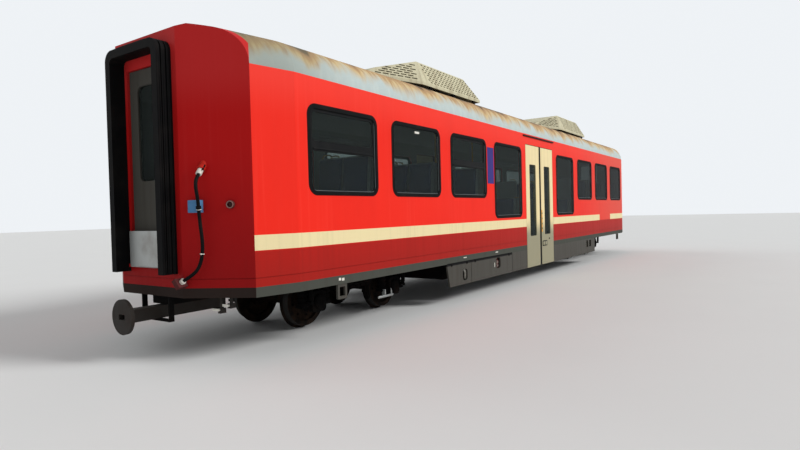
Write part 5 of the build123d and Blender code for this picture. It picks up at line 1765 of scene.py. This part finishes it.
@dataclass
class BogieFittings:
    """Axle box covers, bolts, dampers, brake pipes and guard bars of one bogie."""

    end: str
    face_y: float = -0.665
    cover_radius: float = 0.085
    cover_depth: Span = (-0.004, 0.014)
    cover_steps: Spans = ((0.028, 0.012), (0.02, -0.005))
    cover_bolts: float = 0.07
    beam_y: float = -0.635
    pipe_y: float = -0.65
    damper_x: float = 0.165
    damper_rods: tuple[tuple[float, float, float, int, float], ...] = (
        (0.36, 0.50, 0.028, 20, 0.004), (0.48, 0.59, 0.034, 20, 0.004), (0.335, 0.37, 0.012, 12, 0.001))
    damper_eyes: Spans = ((0.335, 0.055), (0.605, 0.075))
    pipe_run: Spans = (
        (-0.98, 0.60), (-0.55, 0.60), (-0.42, 0.56), (-0.24, 0.45), (0.24, 0.45), (0.42, 0.56), (0.55, 0.60),
        (0.98, 0.60))
    clips: Spans = (
        (-0.9, 0.60), (-0.62, 0.60), (-0.1, 0.45), (0.1, 0.45), (0.62, 0.60), (0.9, 0.60))
    bolts: Spans = (
        (-0.98, 0.565), (-0.88, 0.565), (-0.62, 0.63), (-0.52, 0.63), (0.52, 0.63), (0.62, 0.63),
        (0.88, 0.565), (0.98, 0.565), (-0.16, 0.42), (-0.05, 0.42), (0.05, 0.42), (0.16, 0.42))
    guards: tuple[tuple[float, ...], ...] = (
        (0.367, 0.706, -0.012, 0.004, 0.196, 0.226, 0.004), (0.52, 0.545, -0.004, 0.045, 0.21, 0.30, 0.003),
        (0.66, 0.685, -0.004, 0.045, 0.21, 0.30, 0.003))

    def fit_frame(self, pieces: Sequence[Piece], name: str, places: Sequence[Matrix] = (HERE, LEFT),
                  coat: Coat = Coat.BLACK) -> None:
        """Sets pieces on this bogie's frame; see fit."""
        fit(pieces, f"{name}_{self.end}", places, coat, f"bogie_{self.end}")

    def cover(self) -> Piece:
        """Round axle box cover with six bolts, at the origin with its face along +Z.

        Returns:
            The cover as one piece.
        """
        low, high = self.cover_depth
        disc = rod("cover", (0, 0, low), (0, 0, high), self.cover_radius, 32, 0.0)
        round_edges(press(disc, UP, *self.cover_steps), 0.0025)
        spots = [Matrix.Rotation(k * math.pi / 3, 4, "Z") @ Matrix.Translation((self.cover_bolts, 0, high))
                 for k in range(6)]
        return join([disc, copies(bolt(0.008, 0.008), spots, "cover_bolts")], "cover")

    def damper(self) -> Piece:
        """Upright damper beside an axle box: body, rod, eyes and pins.

        Returns:
            The damper as one piece.
        """
        x, y = self.damper_x, self.face_y - 0.03
        made = [rod("damper", (x, y, low), (x, y, high), *shape) for low, high, *shape in self.damper_rods]
        made += [rod("eye", (x, y - 0.02, level), (x, y + reach, level), 0.022, 16, 0.003)
                 for level, reach in self.damper_eyes]
        return join(made, "damper")

    def build(self) -> None:
        """Fits both sides of the bogie."""
        pivot = PIVOTS[self.end]
        axles = [pivot + side * SIZES.half_base for side in (-1, 1)]
        spots = [aim((x, side * self.face_y, SIZES.axle_level), (0, -side, 0))
                 for x in axles for side in (1, -1)]
        self.fit_frame([self.cover()], "axle_covers", spots)
        places = []
        for x, turn in zip(axles, (END_B, HERE)):
            outer = Matrix.Translation((x, 0, 0)) @ turn
            places += [outer, LEFT @ outer]
        self.fit_frame([self.damper()], "dampers", places)
        self.build_pipes(pivot)
        spots = [aim((pivot + x, side * self.beam_y, level), (0, -side, 0))
                 for x, level in self.bolts for side in (1, -1)]
        self.fit_frame([bolt()], "beam_bolts", spots)

    def build_pipes(self, pivot: float) -> None:
        """Brake pipes along the side beams with their clips, and the guard bars.

        Args:
            pivot: Place of the bogie's pivot along the coach.
        """
        y, face = self.pipe_y, self.face_y
        made = [pipe("brake_pipe", [(pivot + x, y, z) for x, z in self.pipe_run], 0.011)]
        for x, z in self.clips:
            made.append(block("clip", (pivot + x - 0.012, y - 0.014, z - 0.018),
                              (pivot + x + 0.012, self.beam_y + 0.001, z + 0.018), 0.002))
        self.fit_frame(made, "bogie_pipes")
        made = []
        for x0, x1, rear, front, low, high, edge in self.guards:
            made.append(block("guard", (pivot + x0, face + rear, low), (pivot + x1, face + front, high),
                              edge))
        self.fit_frame(made, "guard_bars", coat=Coat.METAL)


@dataclass
class WheelBolts:
    """Bolt rings of one wheelset."""

    axle: str
    ring_radius: float = 0.185
    face_y: float = 0.4155
    count: int = 8
    first_angle: float = 0.2

    def build(self) -> None:
        """Adds a ring of bolts on the outer face of both wheels."""
        spots = []
        for side in (-1, 1):
            for k in range(self.count):
                angle = 2 * math.pi * k / self.count + self.first_angle
                x = AXLES[self.axle] + self.ring_radius * math.cos(angle)
                z = SIZES.axle_level + self.ring_radius * math.sin(angle)
                spots.append(aim((x, side * self.face_y, z), (0, side, 0)))
        name = f"wheelset_{self.axle}"
        fit([bolt(0.011, 0.012)], f"{name}_bolts", spots, Coat.BLACK, name)


@dataclass
class UnderPipes:
    """Air pipes under the high floors, with their hangers."""

    level: float = 0.735
    y: float = -0.99
    pipes: Spans = ((0.0, 0.021), (0.055, 0.015))
    run: Points = ((-6.72, 0.25, 0), (-6.60, 0.06, 0), (-6.40, 0, 0), (-5.0, 0, 0), (-3.62, 0, 0),
                              (-3.52, 0, 0), (-3.48, 0, 0.03))
    hangers: Numbers = (-6.43, -5.8, -4.93, -4.1, -3.6)
    hanger_half: float = 0.015
    hanger_bars: Points = ((-0.03, 0.085, 0.717), (-0.034, -0.026, 0.815))

    def build(self) -> None:
        """Runs the pipes on both sides of both ends."""
        y, level, half = self.y, self.level, self.hanger_half
        made = [pipe("air_pipe", [(x, y + offset + side, level + rise) for x, side, rise in self.run], radius)
                for offset, radius in self.pipes]
        for x in self.hangers:
            made += [block("hanger", (x - half, y + low, level - 0.026), (x + half, y + high, top), 0.002)
                     for low, high, top in self.hanger_bars]
        fit(made, "air_pipes", (HERE, LEFT, END_B, TURNED), Coat.BLACK)


@dataclass
class EndDetails:
    """Handles of the end cocks, coupler bolts and folds of the gangways."""

    cocks: Points = ((-7.09, -0.752, 0.46), (-7.046, -0.835, 0.50))
    buffer_face: float = 7.594
    buffer_bolts: Spans = ((-0.1, 0.34), (-0.1, 0.484), (0.1, 0.34), (0.1, 0.484))
    fold_places: Numbers = (7.345, 7.395, 7.435, 7.46)
    fold_half: float = 0.431
    fold_top: float = 2.961

    def build(self) -> None:
        """Adds the details at both ends."""
        handles = []
        for x, y, z in self.cocks:
            handles += [rod("cock_pin", (x - 0.045, y, z), (x - 0.028, y, z), 0.012, 14),
                        block("cock_handle", (x - 0.052, y - 0.012, z - 0.012),
                              (x - 0.043, y + 0.075, z + 0.012), 0.003)]
        fit(handles, "cock_handles", (HERE, TURNED), Coat.WHITE)
        for end, side in (("a", -1), ("b", 1)):
            spots = [aim((side * self.buffer_face, y, z), (-side, 0, 0)) for y, z in self.buffer_bolts]
            fit([bolt(0.014, 0.012)], f"buffer_bolts_{end}", spots, Coat.BLACK,
                f"coupler_{end}")
        half, top = self.fold_half, self.fold_top
        side = [(half, 0.81), (half, 1.5), (half, 2.8), (half - 0.02, 2.93), (half - 0.13, top)]
        arch = [(-y, z) for y, z in side] + [(0.0, top)] + side[::-1]
        folds = [pipe("fold", [(x, y, z) for y, z in arch], 0.007) for x in self.fold_places]
        fit(folds, "gangway_folds", (HERE, END_B), Coat.RUBBER)


# Saloon


@dataclass
class Bench:
    """Place of one bench."""

    back_x: float
    way: int
    floor: float


@dataclass
class Saloon:
    """Seat cushions, grab handles, luggage racks and ceiling lamps."""

    seat_size: Point = (0.336, 0.386, 0.06)
    back_height: float = 0.76
    lean: float = 0.06
    seat_front: float = 0.154
    back_front: float = 0.0912
    seat_sides: Span = (-1.052, -0.273)
    seat_level: float = 0.4
    back_level: float = 0.75
    end_bench: float = 6.44
    middle_bench: float = 0.84
    riser_gap: float = 0.055
    pillar_gap: float = 0.06
    voxel: float = 0.02
    swell_cap: float = 0.009
    swell_room: float = 0.01
    pressure: float = 4.0
    steps: int = 20
    handle_place: Span = (0.015, 1.13)
    handle: Spans = (
        (-0.44, -0.006), (-0.43, 0.035), (-0.40, 0.045), (-0.33, 0.045), (-0.30, 0.035), (-0.29, -0.006))
    rack_bars: Spans = (
        (-0.80, 0.012), (-0.88, 0.008), (-0.96, 0.008), (-1.04, 0.008))
    rack_run: Span = (-6.35, -2.42)
    rack_level: float = 2.53
    rack_arms: Numbers = (-6.3, -5.0675, -3.6325, -2.48)
    arm_run: Span = (-1.142, -0.79)
    lamps: Numbers = (-5.4, -3.2, 0.0, 3.2, 5.4)
    lamp_y: float = 0.42
    lamp_half: Span = (0.9, 0.06)
    lamp_depth: float = 0.035
    lamp_step: Span = (0.012, 0.012)

    def benches(self) -> list[Bench]:
        """Every bench of the right side.

        Returns:
            Their places.
        """
        high, low, trough = SIZES.floor_high, SIZES.floor_low, SIZES.trough_end
        made = []
        for side in (-1, 1):
            made += [Bench(side * self.end_bench, -side, high),
                     Bench(side * (trough + self.riser_gap), side, high),
                     Bench(side * (trough - self.riser_gap), -side, low),
                     Bench(side * self.middle_bench, side, low)]
        for window in (1, 2, 6, 7):
            pillar = SIZES.window_starts[window] - (SIZES.window_pitch - SIZES.window_width) / 2
            made += [Bench(pillar + way * self.pillar_gap, way, high) for way in (-1, 1)]
        return made

    def swell(self, piece: Piece) -> Piece:
        """Lets a cushion fill out as cloth under pressure.

        Args:
            piece: The closed cushion, a little under its size.

        Returns:
            The same piece, filled out.
        """
        take(piece)
        piece.data.remesh_voxel_size = self.voxel
        bpy.ops.object.voxel_remesh()
        starts = [vertex.co.copy() for vertex in piece.data.vertices]
        cloth = piece.modifiers.new("Fill", "CLOTH")
        cloth.settings.use_pressure = True
        cloth.settings.uniform_pressure_force = self.pressure
        cloth.settings.effector_weights.gravity = 0.0
        for step in range(1, self.steps + 1):
            bpy.context.scene.frame_set(step)
        bpy.ops.object.modifier_apply(modifier=cloth.name)
        bpy.context.scene.frame_set(1)
        for vertex, start in zip(piece.data.vertices, starts):
            move = vertex.co - start
            if move.length > self.swell_cap:
                vertex.co = start + move.normalized() * self.swell_cap
        bpy.ops.object.shade_smooth()
        return piece

    def cushion(self, size: Point) -> Piece:
        """Closed crowned cushion of a depth, width and height about the origin."""
        half = [value / 2 - self.swell_room for value in size]
        return self.swell(block("cushion", [-value for value in half], half, 0.012))

    def build_cushions(self) -> None:
        """Makes one seat cushion and one back cushion and copies them to every bench."""
        seats, backs = [], []
        depth, width, thick = self.seat_size
        wall_side, aisle_side = self.seat_sides
        for bench in self.benches():
            x, floor = bench.back_x, bench.floor
            seat_x, back_x = (x + bench.way * step for step in (self.seat_front + depth / 2, self.back_front))
            lean = Matrix.Identity(4)
            lean[0][2] = -bench.way * self.lean / self.back_height
            for y in (wall_side + width / 2, aisle_side - width / 2):
                seats.append(Matrix.Translation((seat_x, y, floor + self.seat_level)))
                backs.append(Matrix.Translation((back_x, y, floor + self.back_level)) @ lean)
        for name, size, places in (("seat_cushions", self.seat_size, seats),
                                   ("back_cushions", (thick, width, self.back_height), backs)):
            both_sides = places + [LEFT @ place for place in places]
            piece = paint(copies(self.cushion(size), both_sides, name), Coat.CLOTH)
            hand_over(piece, stands_for=["seat_pads"])

    def build_handles(self) -> None:
        """Grab handles on the aisle side of each bench back."""
        made = []
        for bench in self.benches():
            x, z = bench.back_x + bench.way * self.handle_place[0], bench.floor + self.handle_place[1]
            made.append(pipe("grab", [(x, y, z + rise) for y, rise in self.handle], 0.009))
        fit(made, "seat_handles", coat=Coat.POLE)

    def build_racks(self) -> None:
        """Luggage racks over the high floors."""
        (start, end), (wall, front), z = self.rack_run, self.arm_run, self.rack_level
        made = [rod("rack", (start, y, z), (end, y, z), radius, 12, 0.001) for y, radius in self.rack_bars]
        for x in self.rack_arms:
            arm = block("arm", (x - 0.008, wall, z - 0.025), (x + 0.008, front, z - 0.005), 0.003)
            pick(arm, lambda centre, normal: normal.y < -0.9)
            bpy.ops.mesh.extrude_region_move(TRANSFORM_OT_translate={"value": (0, 0, 0)})
            bpy.ops.transform.resize(value=(1.6, 1, 4))
            clear_hands()
            made.append(arm)
        fit(made, "luggage_racks", (HERE, LEFT, END_B, TURNED), Coat.METAL)

    def build_lamps(self) -> None:
        """Long ceiling lamps over the aisle."""
        y, (half_length, half_width) = -self.lamp_y, self.lamp_half
        top = SIZES.ceiling(self.lamp_y + 0.07) - 0.002
        made = []
        for x in self.lamps:
            lamp = block("lamp", (x - half_length, y - half_width, top - self.lamp_depth),
                         (x + half_length, y + half_width, top), 0.0)
            made.append(round_edges(press(lamp, DOWN, self.lamp_step), 0.006))
        fit(made, "ceiling_lamps", coat=Coat.LAMP)

    def build(self) -> None:
        """Fits out the saloon."""
        self.build_cushions()
        self.build_handles()
        self.build_racks()
        self.build_lamps()


# Main


def main() -> None:
    """Builds the scene: camera, cable, finishes, then each sub-assembly."""
    logging.basicConfig(level=logging.INFO, format="%(name)s: %(message)s")
    parts = [Studio(), JumperCable(), NodeCoats(), EndFittings(), RoofUnitSlots(), DoorFittings(),
             WindowTrim(), SideMarks(), FlapFittings(), *[BogieFittings(end) for end in PIVOTS],
             *[WheelBolts(axle) for axle in AXLES], UnderPipes(), EndDetails(), Saloon()]
    for part in parts:
        part.build()
    clear_hands()


if __name__ == "__main__":
    main()
